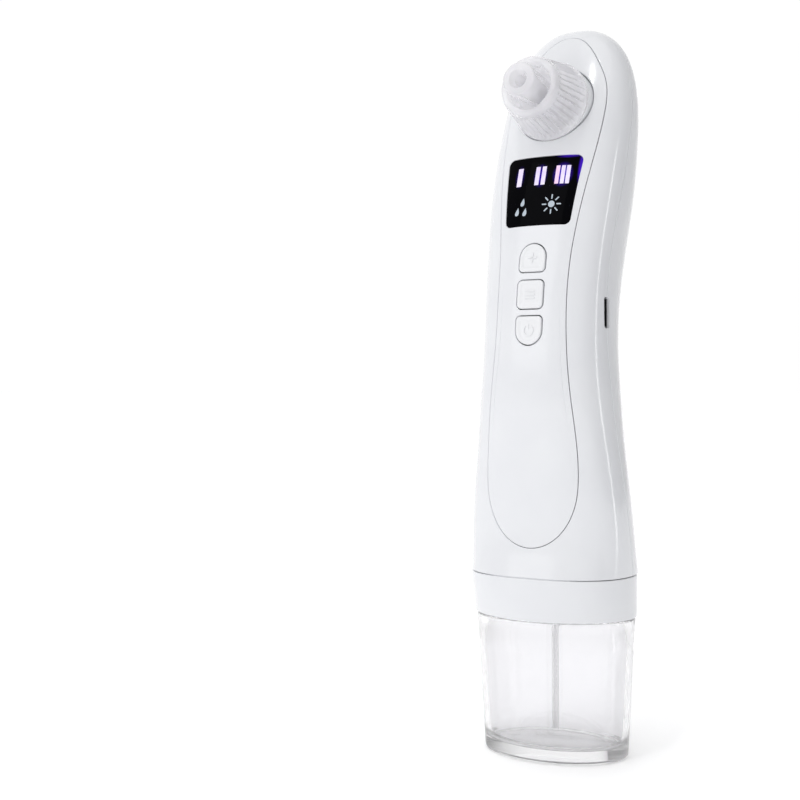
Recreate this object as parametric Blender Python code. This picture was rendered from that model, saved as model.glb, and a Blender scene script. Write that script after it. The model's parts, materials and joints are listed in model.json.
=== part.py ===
"""Blackhead vacuum extractor: a hand-held body on a clear water cup, with a clear suction nozzle.

The frame is millimetres while shapes are worked out and metres in the finished meshes.
Origin: centre of the cup's base. +Z is up, the nozzle and the display face -Y, the charging port is on +X.
"""
import math

import bmesh
import bpy
import numpy as np
from mathutils import Matrix, Vector

MM = 0.001
GAP = 0.3                    # clearance between separate pieces that meet

# ---- driving dimensions, millimetres -------------------------------------------------------------
CUP_TOP_HALF = (22.5, 17.2)          # half width and half depth of the cup at its mouth
CUP_BASE_HALF = (20.5, 15.3)
CUP_HEIGHT = 37.8
CUP_WALL = 1.8
CUP_FLOOR = 3.2
CUP_NECK_TOP = 45.0
RING_HALF = (22.95, 17.7)
RING_BOTTOM = 38.1
RING_TOP = 49.3
RING_WALL = 1.5
PLATE_BOTTOM = 46.4
PLATE_TOP = 49.0
SHELL_BOTTOM = 49.6
SHELL_WALL = 2.3
PANEL_THICK = 1.0
CUT_PAST = 3.0                       # how far a cutter reaches out past the skin

# Stations up the body: height, half width, front y, back y, y where the body is widest.
STATIONS = (
    (49.6, 22.9, -17.5, 16.6, 0.4),
    (56.2, 22.8, -16.0, 14.6, -0.6),
    (69.9, 21.9, -15.6, 13.9, -2.0),
    (83.6, 20.2, -15.9, 15.2, -3.0),
    (97.3, 18.7, -16.7, 17.0, -3.6),
    (111.0, 17.6, -16.0, 18.8, -4.0),
    (124.7, 17.4, -14.6, 21.6, -3.6),
    (138.9, 17.9, -12.0, 26.0, -1.2),
    (153.0, 18.8, -8.6, 28.5, 3.2),
    (166.0, 19.0, -4.0, 28.9, 7.6),
    (175.0, 18.7, -0.4, 28.3, 10.6),
    (183.0, 17.6, 3.1, 27.2, 13.0),
    (190.0, 15.4, 6.5, 25.6, 15.0),
    (196.0, 11.4, 10.0, 23.2, 16.4),
    (199.4, 6.2, 13.2, 20.8, 16.9),
    (200.4, 0.0, 17.0, 17.0, 17.0),
)
FRONT_POWER = 2.5                    # superellipse powers of the front and back half sections
BACK_POWER = 2.2
BODY_ROWS = 24
HALF_COLUMNS = 14

# Front panel outline: height and half width, an hourglass closed at both ends.
PANEL_OUTLINE = (
    (60.3, 7.4), (64.9, 11.0), (71.0, 13.0), (78.0, 13.4), (92.8, 12.3), (108.0, 10.7),
    (124.0, 10.1), (136.0, 10.5), (148.0, 11.8), (162.0, 13.5), (174.0, 14.3), (182.0, 13.5),
    (189.0, 10.2), (194.0, 6.6),
)
PANEL_LOW = 57.6
PANEL_HIGH = 197.4
PANEL_ROWS = 26
PANEL_COLUMNS = 8

# Display window: half widths at the bottom and the top edge, and its two heights.
DISPLAY_LOW, DISPLAY_HIGH = 143.6, 162.5
DISPLAY_HALF_LOW, DISPLAY_HALF_HIGH = 9.4, 11.1
DISPLAY_CORNER = 1.6
DISPLAY_THICK = 0.9

BUTTON_WIDTH = 8.0
BUTTON_HEIGHT = 8.1
BUTTON_TRAVEL = 0.5
BUTTON_PROUD = 0.2
BUTTON_GAP = 0.35
KEY_LIP_DEPTH = 3.0                  # how deep a key's cap reaches below the skin
KEY_FOOT_DEPTH = 4.2                 # how deep its narrower foot reaches
KEY_FOOT_INSET = 1.0
BUTTONS = {                          # centre height, top corner radius, bottom corner radius
    "button_plus": (134.6, 3.8, 1.1),
    "button_mode": (124.8, 1.3, 1.3),
    "button_power": (115.2, 1.1, 3.8),
}

NOZZLE_TILT = math.radians(9.0)
NOZZLE_BASE = (0.0, -0.9, 177.6)     # centre of the collar's rear face
NOZZLE_BORE_R = 11.2                 # the round opening in the head that takes the seat
COLLAR_LENGTH = 14.5
COLLAR_BASE_R = 11.0
COLLAR_RIM_R = 8.0
TIP_END = 20.4                       # tip face, measured along the nozzle axis
TIP_R = 4.6
TIP_BORE_R = 1.55
SEAT_DEPTH = 8.0

PORT_Z = 119.8
PORT_SIZE = (7.5, 2.5)               # micro-USB mouth, height along Z and thickness along Y
PORT_CORNER = 0.25

PUMP_CENTRE = (0.0, -1.4)
PUMP_R = 10.6
PUMP_LOW, PUMP_HIGH = 55.0, 66.6
INLET_BARB = (6.1, 5.9)
INLET_BARB_TOP = 69.4
MOTOR_R = 8.0
MOTOR_LOW, MOTOR_HIGH = 67.6, 91.0
CRANK_OFFSET = 0.8
BRACKET_LOW, BRACKET_HEIGHT = 84.0, 4.0
BRACKET_REACH = 15.6                 # how far the bracket's ears reach to each side
BATTERY_R = 6.5
BATTERY_LOW, BATTERY_HIGH = 99.0, 147.0
BATTERY_Y = 6.9
CRADLE_LOW, CRADLE_HIGH = 105.0, 141.0
BOARD_FOOT = (-9.4, 106.0)           # y and z of the board's lower and upper edges
BOARD_HEAD = (1.4, 162.0)
BOARD_HALF_WIDTH = 9.6
BOARD_THICK = 1.2
SCREW_SPOTS = ((11.6, 166.6), (-11.6, 166.6), (11.2, 76.0), (-11.2, 76.0))
SCREW_R = 1.1
SCREW_HEAD_R = 1.9
BOSS_R = 2.6
POST_R = 3.1
POST_FLOOR = 2.0                     # plastic under a screw head

SPIGOT_R = 4.6
SPIGOT_BORE_R = 2.2
SPIGOT_LENGTH = 6.0
COLLAR_ROOT_R = 7.0                  # room for the seal at the back of the collar
COLLAR_ROOT_DEPTH = 2.4
RECESS_MOUTH_R, RECESS_FLOOR_R = 6.5, 5.7
WEB_BACK, WEB_FRONT = 6.6, 8.6       # the collar's inner web, along the nozzle axis
WEB_HOLE_R = 3.1
TIP_FACE_R = 2.6

CUP_SEGMENTS = 36
DIP_TUBE_R = 0.95
DIP_BORE_R = 0.45
DIP_LOW, DIP_TOP = 6.0, 47.0
FEED_PORT = (-7.0, 8.8)              # x and y of the plate's barbs and of its vent
WASTE_PORT = (5.5, -3.0)
VENT_PORT = (-9.0, -5.0)
BARB_R = 1.3
BARB_BORE_R = 0.6
HOSE_R = 1.1
LEAD_R = 0.5
FEED_BARB_TOP = 53.4
WASTE_BARB_TOP = 51.4

CHAMBER_R = 8.6
CHAMBER_LOW = 58.4
YOKE_Z = 60.4
YOKE_SLOT_HALF = 2.7
PISTON_BORE_R = 3.0
PISTON_AT = 6.6                      # piston centre from the crank axis, along +X
CRANK_Z = 63.0
CRANK_PIN_R = 0.8

# Hoses and leads held inside the body: route points, radius and look.
HOSES = (
    ("feed_hose", ((-7.0, 8.8, 53.7), (-6.7, 9.1, 60.0), (-4.0, 10.0, 68.0), (-3.0, 10.2, 77.0),
                   (-4.5, 10.4, 87.0), (-9.0, 8.0, 97.0), (-11.0, 5.8, 107.0), (-11.0, 6.0, 124.0),
                   (-10.6, 8.6, 141.0), (-7.6, 14.0, 156.0), (-3.4, 18.4, 166.0), (-1.6, 18.0, 173.4),
                   (-1.6, 12.6, 175.2)), HOSE_R, "silicone"),
    ("suction_hose", ((6.1, 5.9, 69.7), (6.5, 7.0, 75.0), (7.0, 8.8, 84.0), (9.6, 7.4, 95.0),
                      (11.0, 5.8, 106.0), (11.0, 6.0, 124.0), (10.6, 8.6, 141.0), (7.6, 14.0, 156.0),
                      (3.4, 18.4, 166.0), (1.6, 18.0, 173.4), (1.6, 12.6, 175.2)), HOSE_R, "silicone"),
    ("battery_lead_red", ((1.2, 6.9, 97.1), (1.6, 3.6, 94.6), (6.0, -4.0, 97.0), (7.4, -5.4, 103.0),
                          (7.5, -6.6, 109.0)), LEAD_R, "red_lead"),
    ("battery_lead_black", ((-1.2, 6.9, 97.1), (-1.6, 3.6, 94.6), (-6.0, -4.0, 97.0), (-7.4, -5.4, 103.0),
                            (-7.5, -6.6, 109.0)), LEAD_R, "black_plastic"),
)

# ---- materials -----------------------------------------------------------------------------------
MATERIALS = {                        # colour, roughness, metallic, alpha
    "white_plastic": ((0.86, 0.87, 0.89), 0.22, 0.0, 1.0),
    "clear_plastic": ((0.93, 0.93, 0.96), 0.05, 0.0, 0.3),
    "display_black": ((0.005, 0.005, 0.01), 0.08, 0.0, 1.0),
    "inner_plastic": ((0.62, 0.63, 0.65), 0.5, 0.0, 1.0),
    "board_green": ((0.03, 0.20, 0.10), 0.45, 0.0, 1.0),
    "black_plastic": ((0.03, 0.03, 0.035), 0.4, 0.0, 1.0),
    "bright_steel": ((0.75, 0.76, 0.78), 0.25, 1.0, 1.0),
    "copper": ((0.72, 0.40, 0.22), 0.35, 1.0, 1.0),
    "silicone": ((0.80, 0.80, 0.82), 0.6, 0.0, 1.0),
    "battery_wrap": ((0.10, 0.22, 0.50), 0.35, 0.0, 1.0),
    "foam": ((0.55, 0.56, 0.58), 0.95, 0.0, 1.0),
    "red_lead": ((0.55, 0.03, 0.03), 0.4, 0.0, 1.0),
}


def clear_scene():
    for item in list(bpy.data.objects):
        bpy.data.objects.remove(item, do_unlink=True)


def material(name):
    """The named Principled material, made once."""
    if name in bpy.data.materials:
        return bpy.data.materials[name]
    colour, roughness, metallic, alpha = MATERIALS[name]
    made = bpy.data.materials.new(name)
    made.use_nodes = True
    shader = made.node_tree.nodes["Principled BSDF"]
    shader.inputs["Base Color"].default_value = (*colour, 1.0)
    shader.inputs["Roughness"].default_value = roughness
    shader.inputs["Metallic"].default_value = metallic
    shader.inputs["Alpha"].default_value = alpha
    return made


# ---- curves and sections -------------------------------------------------------------------------
def natural_spline(knots, values):
    """A smooth function through the points (natural cubic spline)."""
    t = np.asarray(knots, float)
    v = np.asarray(values, float)
    step = np.diff(t)
    count = len(t)
    matrix = np.eye(count)
    right = np.zeros(count)
    for i in range(1, count - 1):
        matrix[i, i - 1] = step[i - 1]
        matrix[i, i] = 2.0 * (step[i - 1] + step[i])
        matrix[i, i + 1] = step[i]
        right[i] = 6.0 * ((v[i + 1] - v[i]) / step[i] - (v[i] - v[i - 1]) / step[i - 1])
    bend = np.linalg.solve(matrix, right)

    def value_at(x):
        i = int(np.clip(np.searchsorted(t, x) - 1, 0, count - 2))
        left = (t[i + 1] - x) / step[i]
        other = 1.0 - left
        cubic = (left ** 3 - left) * bend[i] + (other ** 3 - other) * bend[i + 1]
        return left * v[i] + other * v[i + 1] + cubic * step[i] ** 2 / 6.0

    return value_at


class BodyForm:
    """The outer skin of the body as a function of height and of angle round its section."""

    def __init__(self, stations):
        table = np.array(stations)
        steps = np.hypot(np.diff(table[:, 0]), np.diff(table[:, 1]))
        self.knots = np.concatenate(([0.0], np.cumsum(steps)))
        self.end = self.knots[-1]
        columns = [natural_spline(self.knots, table[:, i]) for i in range(5)]
        self.height, self.half_width, self.front, self.back, self.widest = columns
        self.fine = np.linspace(0.0, self.end, 600)
        self.fine_heights = np.array([self.height(p) for p in self.fine])

    def place(self, z):
        """The profile parameter at height z, below the crown."""
        top = int(np.argmax(self.fine_heights))
        return float(np.interp(z, self.fine_heights[:top + 1], self.fine[:top + 1]))

    def point(self, p, angle):
        """A skin point: angle 0 is +X, a quarter turn is the back, three quarters the front."""
        widest = self.widest(p)
        cos, sin = math.cos(angle), math.sin(angle)
        if sin >= 0.0:
            power, reach = BACK_POWER, self.back(p) - widest
        else:
            power, reach = FRONT_POWER, widest - self.front(p)
        x = self.half_width(p) * math.copysign(abs(cos) ** (2.0 / power), cos)
        y = widest + reach * math.copysign(abs(sin) ** (2.0 / power), sin)
        return Vector((x, y, self.height(p)))

    def front_y(self, x, z):
        """y of the front skin over the point (x, z)."""
        p = self.place(z)
        widest = self.widest(p)
        share = min(abs(x) / max(self.half_width(p), 0.001), 1.0)
        return widest - (widest - self.front(p)) * (1.0 - share ** FRONT_POWER) ** (1.0 / FRONT_POWER)

    def front_slope(self, z):
        """Tilt of the front centre line from the vertical at height z, in radians."""
        return math.atan2(self.front_y(0.0, z + 1.0) - self.front_y(0.0, z - 1.0), 2.0)


BODY = BodyForm(STATIONS)
NOZZLE_AXIS = Vector((0.0, -math.cos(NOZZLE_TILT), math.sin(NOZZLE_TILT)))


def rounded_outline(corners, radii, grow, arc_steps=4, edge_step=None):
    """A convex polygon with rounded corners, counter-clockwise, grown outwards by grow.

    With an edge_step its straight runs are cut up too, so that it can follow a curved skin.
    """
    points = []
    count = len(corners)
    for i in range(count):
        here = Vector(corners[i])
        back = (Vector(corners[i - 1]) - here).normalized()
        ahead = (Vector(corners[(i + 1) % count]) - here).normalized()
        half = back.angle(ahead) / 2.0
        centre = here + (back + ahead).normalized() * radii[i] / math.sin(half)
        start = Vector((back.y, -back.x))
        if start.dot(ahead) > 0.0:
            start = -start
        sweep = math.pi - 2.0 * half
        for k in range(arc_steps + 1):
            turn = Matrix.Rotation(sweep * k / arc_steps, 2)
            points.append(centre + (turn @ start) * (radii[i] + grow))
    if edge_step is None:
        return points
    filled = []
    for a, b in zip(points, points[1:] + points[:1]):
        parts = max(1, round((b - a).length / edge_step))
        filled += [a.lerp(b, k / parts) for k in range(parts)]
    return filled


def superellipse_ring(half, z, power=2.0, segments=64, shrink=0.0):
    points = []
    for k in range(segments):
        angle = 2.0 * math.pi * k / segments
        cos, sin = math.cos(angle), math.sin(angle)
        x = (half[0] - shrink) * math.copysign(abs(cos) ** (2.0 / power), cos)
        y = (half[1] - shrink) * math.copysign(abs(sin) ** (2.0 / power), sin)
        points.append(Vector((x, y, z)))
    return points


# ---- mesh building -------------------------------------------------------------------------------
def finish_object(name, bm, material_name, origin=(0.0, 0.0, 0.0), sharp=35.0):
    """Turn a bmesh in millimetres into a scene object in metres with its origin at origin."""
    bmesh.ops.remove_doubles(bm, verts=bm.verts, dist=0.0005)
    bmesh.ops.recalc_face_normals(bm, faces=bm.faces)
    centre = Vector(origin)
    for vert in bm.verts:
        vert.co = (vert.co - centre) * MM
    mesh = bpy.data.meshes.new(name)
    bm.to_mesh(mesh)
    bm.free()
    mesh.shade_smooth()
    mesh.set_sharp_from_angle(angle=math.radians(sharp))
    mesh.materials.append(material(material_name))
    made = bpy.data.objects.new(name, mesh)
    made.location = centre * MM
    bpy.context.scene.collection.objects.link(made)
    return made


def bridge_rings(bm, rings, closed_loop=False):
    """Join rings of points into one skin, capped at both ends or joined into a closed loop."""
    rows = [[bm.verts.new(point) for point in ring] for ring in rings]
    count = len(rows[0])
    pairs = list(zip(rows, rows[1:]))
    if closed_loop:
        pairs.append((rows[-1], rows[0]))
    for low, high in pairs:
        for k in range(count):
            nxt = (k + 1) % count
            bm.faces.new((low[k], low[nxt], high[nxt], high[k]))
    if not closed_loop:
        bm.faces.new(rows[0])
        bm.faces.new(rows[-1])


def ring_solid(name, rings, material_name, closed_loop=False, origin=(0.0, 0.0, 0.0)):
    bm = bmesh.new()
    bridge_rings(bm, rings, closed_loop)
    return finish_object(name, bm, material_name, origin)


def axis_frame(base, direction):
    """A matrix that takes local +Z to direction and the local origin to base."""
    turn = Vector((0.0, 0.0, 1.0)).rotation_difference(Vector(direction)).to_matrix().to_4x4()
    return Matrix.Translation(Vector(base)) @ turn


def turned_rings(profile, base, direction, segments):
    """Rings of a turned shape: profile is (radius, distance along the axis) in order."""
    frame = axis_frame(base, direction)
    rings = []
    for radius, along in profile:
        ring = []
        for k in range(segments):
            angle = 2.0 * math.pi * k / segments
            ring.append(frame @ Vector((radius * math.cos(angle), radius * math.sin(angle), along)))
        rings.append(ring)
    return rings


def turned(name, profile, material_name, base, direction, segments, bored=False):
    """A turned solid. A bored profile is a closed section; otherwise its two ends are capped."""
    rings = turned_rings(profile, base, direction, segments)
    return ring_solid(name, rings, material_name, closed_loop=bored, origin=base)


def box(name, low, high, material_name):
    """A box between two corners."""
    bm = bmesh.new()
    size = Vector(high) - Vector(low)
    centre = (Vector(high) + Vector(low)) / 2.0
    for vert in bmesh.ops.create_cube(bm, size=1.0)["verts"]:
        vert.co = vert.co * size + centre
    return finish_object(name, bm, material_name)


def tube_curve(name, points, radius, material_name, resolution=2):
    """A lead or hose held inside the body: a poly curve through points with filled caps."""
    data = bpy.data.curves.new(name, "CURVE")
    data.dimensions = "3D"
    data.bevel_depth = radius * MM
    data.bevel_resolution = resolution
    data.use_fill_caps = True
    path = smooth_path(points)
    spline = data.splines.new("POLY")
    spline.points.add(len(path) - 1)
    for spot, point in zip(spline.points, path):
        spot.co = (*(point * MM), 1.0)
    data.materials.append(material(material_name))
    made = bpy.data.objects.new(name, data)
    bpy.context.scene.collection.objects.link(made)
    return made


def smooth_path(points, steps=3):
    """Points of a smooth curve through the route's points."""
    spots = [Vector(point) for point in points]
    knots = [0.0]
    for a, b in zip(spots, spots[1:]):
        knots.append(knots[-1] + (b - a).length)
    splines = [natural_spline(knots, [spot[i] for spot in spots]) for i in range(3)]
    count = steps * (len(spots) - 1)
    return [Vector([f(knots[-1] * k / count) for f in splines]) for k in range(count + 1)]


def as_cutter(made):
    """Mark an object as a shape that only cuts or joins others."""
    made.hide_render = True
    made.display_type = "WIRE"
    return made


def cutter(name, rings):
    """A closed ring mesh that only cuts or joins others."""
    return as_cutter(ring_solid(name, rings, "inner_plastic"))


def apply_boolean(target, tool, operation="DIFFERENCE"):
    step = target.modifiers.new(operation.lower() + "_" + tool.name, "BOOLEAN")
    step.operation = operation
    step.solver = "EXACT"
    step.object = tool


def prism_rings(outline, frame, back, front):
    """Two copies of a flat outline in frame's XY plane, at two distances along its Z."""
    return [[frame @ Vector((p.x, p.y, depth)) for p in outline] for depth in (back, front)]


def face_frame(z):
    """A frame on the front centre line at height z: local X is +X, local Y up the skin, local Z outwards."""
    tilt = BODY.front_slope(z)
    up = Vector((0.0, math.sin(tilt), math.cos(tilt)))
    out = Vector((0.0, -math.cos(tilt), math.sin(tilt)))
    turn = Matrix((Vector((1.0, 0.0, 0.0)), up, out)).transposed().to_4x4()
    return Matrix.Translation((0.0, BODY.front_y(0.0, z), z)) @ turn


# ---- body shells ---------------------------------------------------------------------------------
def skin_normal(p, angle):
    """The outward normal of the body skin."""
    dp = 0.05
    da = 0.002
    p_low, p_high = max(p - dp, 0.0), min(p + dp, BODY.end - 0.001)
    along = BODY.point(p_high, angle) - BODY.point(p_low, angle)
    round_ = BODY.point(p, angle + da) - BODY.point(p, angle - da)
    return round_.cross(along).normalized()


def half_shell(name, start_angle, seam_shift):
    """Half of the body skin with a wall inwards, cut along the widest line and closed all round."""
    outer, inner = [], []
    last = BODY.end - 0.9
    for i in range(BODY_ROWS + 1):
        share = i / BODY_ROWS
        p = last * (1.0 - (1.0 - share) ** 1.15)
        outer_row, inner_row = [], []
        for j in range(HALF_COLUMNS + 1):
            angle = start_angle + math.pi * j / HALF_COLUMNS
            skin = BODY.point(p, angle)
            deep = skin - skin_normal(p, angle) * SHELL_WALL
            if i == 0:
                deep.z = skin.z
            if j in (0, HALF_COLUMNS):
                deep.y = skin.y
                skin.y += seam_shift
                deep.y += seam_shift
            outer_row.append(skin)
            inner_row.append(deep)
        outer.append(outer_row)
        inner.append(inner_row)
    crown = BODY.point(BODY.end, 0.0) + Vector((0.0, seam_shift, 0.0))
    bm = bmesh.new()
    out_rows = [[bm.verts.new(v) for v in row] for row in outer]
    in_rows = [[bm.verts.new(v) for v in row] for row in inner]
    out_top = bm.verts.new(crown)
    in_top = bm.verts.new(crown - Vector((0.0, 0.0, SHELL_WALL)))
    for rows in (out_rows, in_rows):
        for low, high in zip(rows, rows[1:]):
            for j in range(HALF_COLUMNS):
                bm.faces.new((low[j], low[j + 1], high[j + 1], high[j]))
    for rows, top in ((out_rows, out_top), (in_rows, in_top)):
        for j in range(HALF_COLUMNS):
            bm.faces.new((rows[-1][j], rows[-1][j + 1], top))
    for j in range(HALF_COLUMNS):
        bm.faces.new((out_rows[0][j], out_rows[0][j + 1], in_rows[0][j + 1], in_rows[0][j]))
    for side in (0, HALF_COLUMNS):
        for low_out, low_in, high_out, high_in in zip(out_rows, in_rows, out_rows[1:], in_rows[1:]):
            bm.faces.new((low_out[side], high_out[side], high_in[side], low_in[side]))
        bm.faces.new((out_rows[-1][side], out_top, in_top, in_rows[-1][side]))
    return finish_object(name, bm, "white_plastic")


def panel_grid(grow, depth_out, depth_in):
    """Front and rear point grids of the hourglass panel: grow widens it, depths are from the skin."""
    middle = (PANEL_LOW + PANEL_HIGH) / 2.0
    reach = (PANEL_HIGH - PANEL_LOW) / 2.0
    angles = [0.0]
    widths = [0.0]
    for z, half in PANEL_OUTLINE:
        angles.append(math.acos((middle - z) / reach))
        widths.append(half)
    angles.append(math.pi)
    widths.append(0.0)
    width_at = natural_spline(angles, widths)
    front, rear = [], []
    for i in range(1, PANEL_ROWS):
        theta = math.pi * i / PANEL_ROWS
        z = middle - (reach + grow) * math.cos(theta)
        half = width_at(theta) + grow
        front.append([front_skin_point(half * (2.0 * j / PANEL_COLUMNS - 1.0), z, depth_out)
                      for j in range(PANEL_COLUMNS + 1)])
        rear.append([front_skin_point(half * (2.0 * j / PANEL_COLUMNS - 1.0), z, depth_in)
                     for j in range(PANEL_COLUMNS + 1)])
    ends = [front_skin_point(0.0, middle + side * (reach + grow), depth)
            for side in (-1.0, 1.0) for depth in (depth_out, depth_in)]
    return front, rear, ends


def front_skin_point(x, z, depth):
    """The point at a depth below the front skin, straight down its normal, at (x, z)."""
    step = 0.2
    across = BODY.front_y(x + step, z) - BODY.front_y(x - step, z)
    upward = BODY.front_y(x, z + step) - BODY.front_y(x, z - step)
    inward = Vector((-across / (2.0 * step), 1.0, -upward / (2.0 * step))).normalized()
    return Vector((x, BODY.front_y(x, z), z)) + inward * depth


def panel_solid(name, grow, depth_out, depth_in):
    front, rear, ends = panel_grid(grow, depth_out, depth_in)
    bm = bmesh.new()
    skins = []
    for grid, low_end, high_end in ((front, ends[0], ends[2]), (rear, ends[1], ends[3])):
        rows = [[bm.verts.new(v) for v in row] for row in grid]
        low, high = bm.verts.new(low_end), bm.verts.new(high_end)
        for j in range(PANEL_COLUMNS):
            bm.faces.new((low, rows[0][j], rows[0][j + 1]))
            bm.faces.new((high, rows[-1][j], rows[-1][j + 1]))
        for a, b in zip(rows, rows[1:]):
            for j in range(PANEL_COLUMNS):
                bm.faces.new((a[j], a[j + 1], b[j + 1], b[j]))
        skins.append((low, rows, high))
    (low_a, rows_a, high_a), (low_b, rows_b, high_b) = skins
    for side in (0, PANEL_COLUMNS):
        rim_a = [low_a] + [row[side] for row in rows_a] + [high_a]
        rim_b = [low_b] + [row[side] for row in rows_b] + [high_b]
        for k in range(len(rim_a) - 1):
            bm.faces.new((rim_a[k], rim_a[k + 1], rim_b[k + 1], rim_b[k]))
    return finish_object(name, bm, "white_plastic")


def display_outline(grow=0.0):
    """The window's outline in its own frame, wider at the top than at the bottom."""
    middle = (DISPLAY_LOW + DISPLAY_HIGH) / 2.0
    half_height = (DISPLAY_HIGH - DISPLAY_LOW) / 2.0 / math.cos(BODY.front_slope(middle))
    corners = ((-DISPLAY_HALF_LOW, -half_height), (DISPLAY_HALF_LOW, -half_height),
               (DISPLAY_HALF_HIGH, half_height), (-DISPLAY_HALF_HIGH, half_height))
    return rounded_outline(corners, (DISPLAY_CORNER,) * 4, grow, edge_step=2.8)


def button_outline(name, grow=0.0):
    """A key's outline in its own frame."""
    _, top_r, low_r = BUTTONS[name]
    w, h = BUTTON_WIDTH / 2.0, BUTTON_HEIGHT / 2.0
    return rounded_outline(((-w, -h), (w, -h), (w, h), (-w, h)), (low_r, low_r, top_r, top_r), grow)


def skin_cap(outline, frame, proud, shares):
    """Rings of an outline laid on the front skin, shrinking towards its middle by the shares."""
    out = frame.to_3x3() @ Vector((0.0, 0.0, 1.0))
    rings = []
    for share in shares:
        ring = []
        for p in outline:
            spot = frame @ Vector((p.x * share, p.y * share, 0.0))
            for _ in range(6):
                spot += out * (spot.y - BODY.front_y(spot.x, spot.z)) / -out.y
            ring.append(spot + out * proud)
        rings.append(ring)
    return rings


def housing_shells():
    """Front shell, rear shell and front panel, with the openings for all that passes through them."""
    front = half_shell("front_shell", math.pi, -GAP / 2.0)
    rear = half_shell("rear_shell", 0.0, GAP / 2.0)

    for i, (x, z) in enumerate(SCREW_SPOTS):
        screw_posts(front, rear, i + 1, x, z)

    recess = as_cutter(panel_solid("cut_panel_recess", GAP, -2.5, PANEL_THICK + GAP))
    apply_boolean(front, recess)
    panel = panel_solid("front_panel", 0.0, 0.0, PANEL_THICK)

    display_frame = face_frame((DISPLAY_LOW + DISPLAY_HIGH) / 2.0)
    window = cutter("cut_display_window", prism_rings(display_outline(GAP), display_frame, -5.0, CUT_PAST))
    apply_boolean(panel, window)
    bay = cutter("cut_display_bay", prism_rings(display_outline(-1.2), display_frame, -8.0, CUT_PAST))
    apply_boolean(front, bay)
    for name, (z, _, _) in BUTTONS.items():
        frame = face_frame(z)
        hole = cutter("cut_" + name, prism_rings(button_outline(name, BUTTON_GAP), frame, -2.0, CUT_PAST))
        apply_boolean(panel, hole)
        room = cutter("room_" + name, prism_rings(button_outline(name, 0.55), frame, -6.0, CUT_PAST))
        apply_boolean(front, room)

    bore_profile = ((NOZZLE_BORE_R, -12.0), (NOZZLE_BORE_R, 9.0))
    bore = cutter("cut_nozzle", turned_rings(bore_profile, NOZZLE_BASE, NOZZLE_AXIS, 48))
    apply_boolean(panel, bore)
    apply_boolean(front, bore)

    side = BODY.half_width(BODY.place(PORT_Z))
    seam_y = BODY.widest(BODY.place(PORT_Z))
    tall, thick = PORT_SIZE[0] / 2.0 + GAP, PORT_SIZE[1] / 2.0 + GAP
    corners = ((-thick, -tall), (thick, -tall), (thick, tall), (-thick, tall))
    slot = rounded_outline(corners, (PORT_CORNER,) * 4, 0.0, 3)
    turn = Matrix(((0.0, 0.0, 1.0), (-1.0, 0.0, 0.0), (0.0, 1.0, 0.0))).to_4x4()
    slot_frame = Matrix.Translation((side, seam_y, PORT_Z)) @ turn
    port = cutter("cut_port", prism_rings(slot, slot_frame, -4.0, 2.0))
    apply_boolean(front, port)
    apply_boolean(rear, port)
    for i, (x, z) in enumerate(SCREW_SPOTS):
        screw_wells(front, i + 1, x, z)


def rod_cutter(name, radius, x, z, y_from, y_to, segments=16):
    """A round rod along Y between two depths, kept only to cut or to join."""
    profile = ((radius, 0.0), (radius, y_to - y_from))
    return cutter(name, turned_rings(profile, (x, y_from, z), (0.0, 1.0, 0.0), segments))


def screw_posts(front, rear, number, x, z):
    """A post on each shell at one screw, with the pilot hole in the rear one."""
    at = BODY.place(z)
    seam = BODY.widest(at)
    share = (abs(x) + BOSS_R) / BODY.half_width(at)
    wall = seam + (BODY.back(at) - seam) * (1.0 - share ** BACK_POWER) ** (1.0 / BACK_POWER)
    skin = BODY.front_y(x, z)
    ledge = skin + PANEL_THICK + 2.0 * GAP
    apply_boolean(rear, rod_cutter(f"boss_{number}", BOSS_R, x, z, seam + 0.6, wall - 0.9), "UNION")
    apply_boolean(rear, rod_cutter(f"pilot_{number}", SCREW_R + GAP, x, z, seam - 0.6, seam + 6.2))
    apply_boolean(front, rod_cutter(f"post_{number}", POST_R, x, z, ledge + 0.6, seam - 0.6), "UNION")


def screw_wells(front, number, x, z):
    """The well for a screw's head and the hole for its shank, cut down the front shell's post."""
    seam = BODY.widest(BODY.place(z))
    skin = BODY.front_y(x, z)
    floor = seam - POST_FLOOR - 0.6
    apply_boolean(front, rod_cutter(f"well_{number}", SCREW_HEAD_R + GAP, x, z, skin - 2.0, floor))
    apply_boolean(front, rod_cutter(f"shank_{number}", SCREW_R + GAP, x, z, floor - 1.0, seam + 1.0))


def shell_screws():
    """Pan-head screws under the front panel, through the front shell into the rear shell's bosses."""
    for i, (x, z) in enumerate(SCREW_SPOTS):
        seam = BODY.widest(BODY.place(z))
        seat_y = seam - POST_FLOOR - 0.6 - GAP
        tip = seam + 5.4 - seat_y
        profile = ((SCREW_HEAD_R * 0.7, -1.3), (SCREW_HEAD_R, -0.6), (SCREW_HEAD_R, 0.0),
                   (SCREW_R, 0.0), (SCREW_R, tip - 1.2), (0.2, tip))
        turned(f"shell_screw_{i + 1}", profile, "bright_steel", (x, seat_y, z), (0.0, 1.0, 0.0), 12)


# ---- display, buttons and board ------------------------------------------------------------------
def display_window():
    """The black gloss window, flush with the panel, its face following the skin."""
    frame = face_frame((DISPLAY_LOW + DISPLAY_HIGH) / 2.0)
    outline = display_outline()
    rings = skin_cap(outline, frame, 0.0, (0.02, 0.5, 1.0))
    rings += skin_cap(outline, frame, -DISPLAY_THICK, (1.0, 0.5, 0.02))
    ring_solid("display_window", rings, "display_black")


def display_module():
    """The lamp block behind the window."""
    frame = face_frame((DISPLAY_LOW + DISPLAY_HIGH) / 2.0)
    outline = display_outline(-1.6)
    ring_solid("display_module", prism_rings(outline, frame, -6.0, -3.5), "black_plastic")


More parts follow.
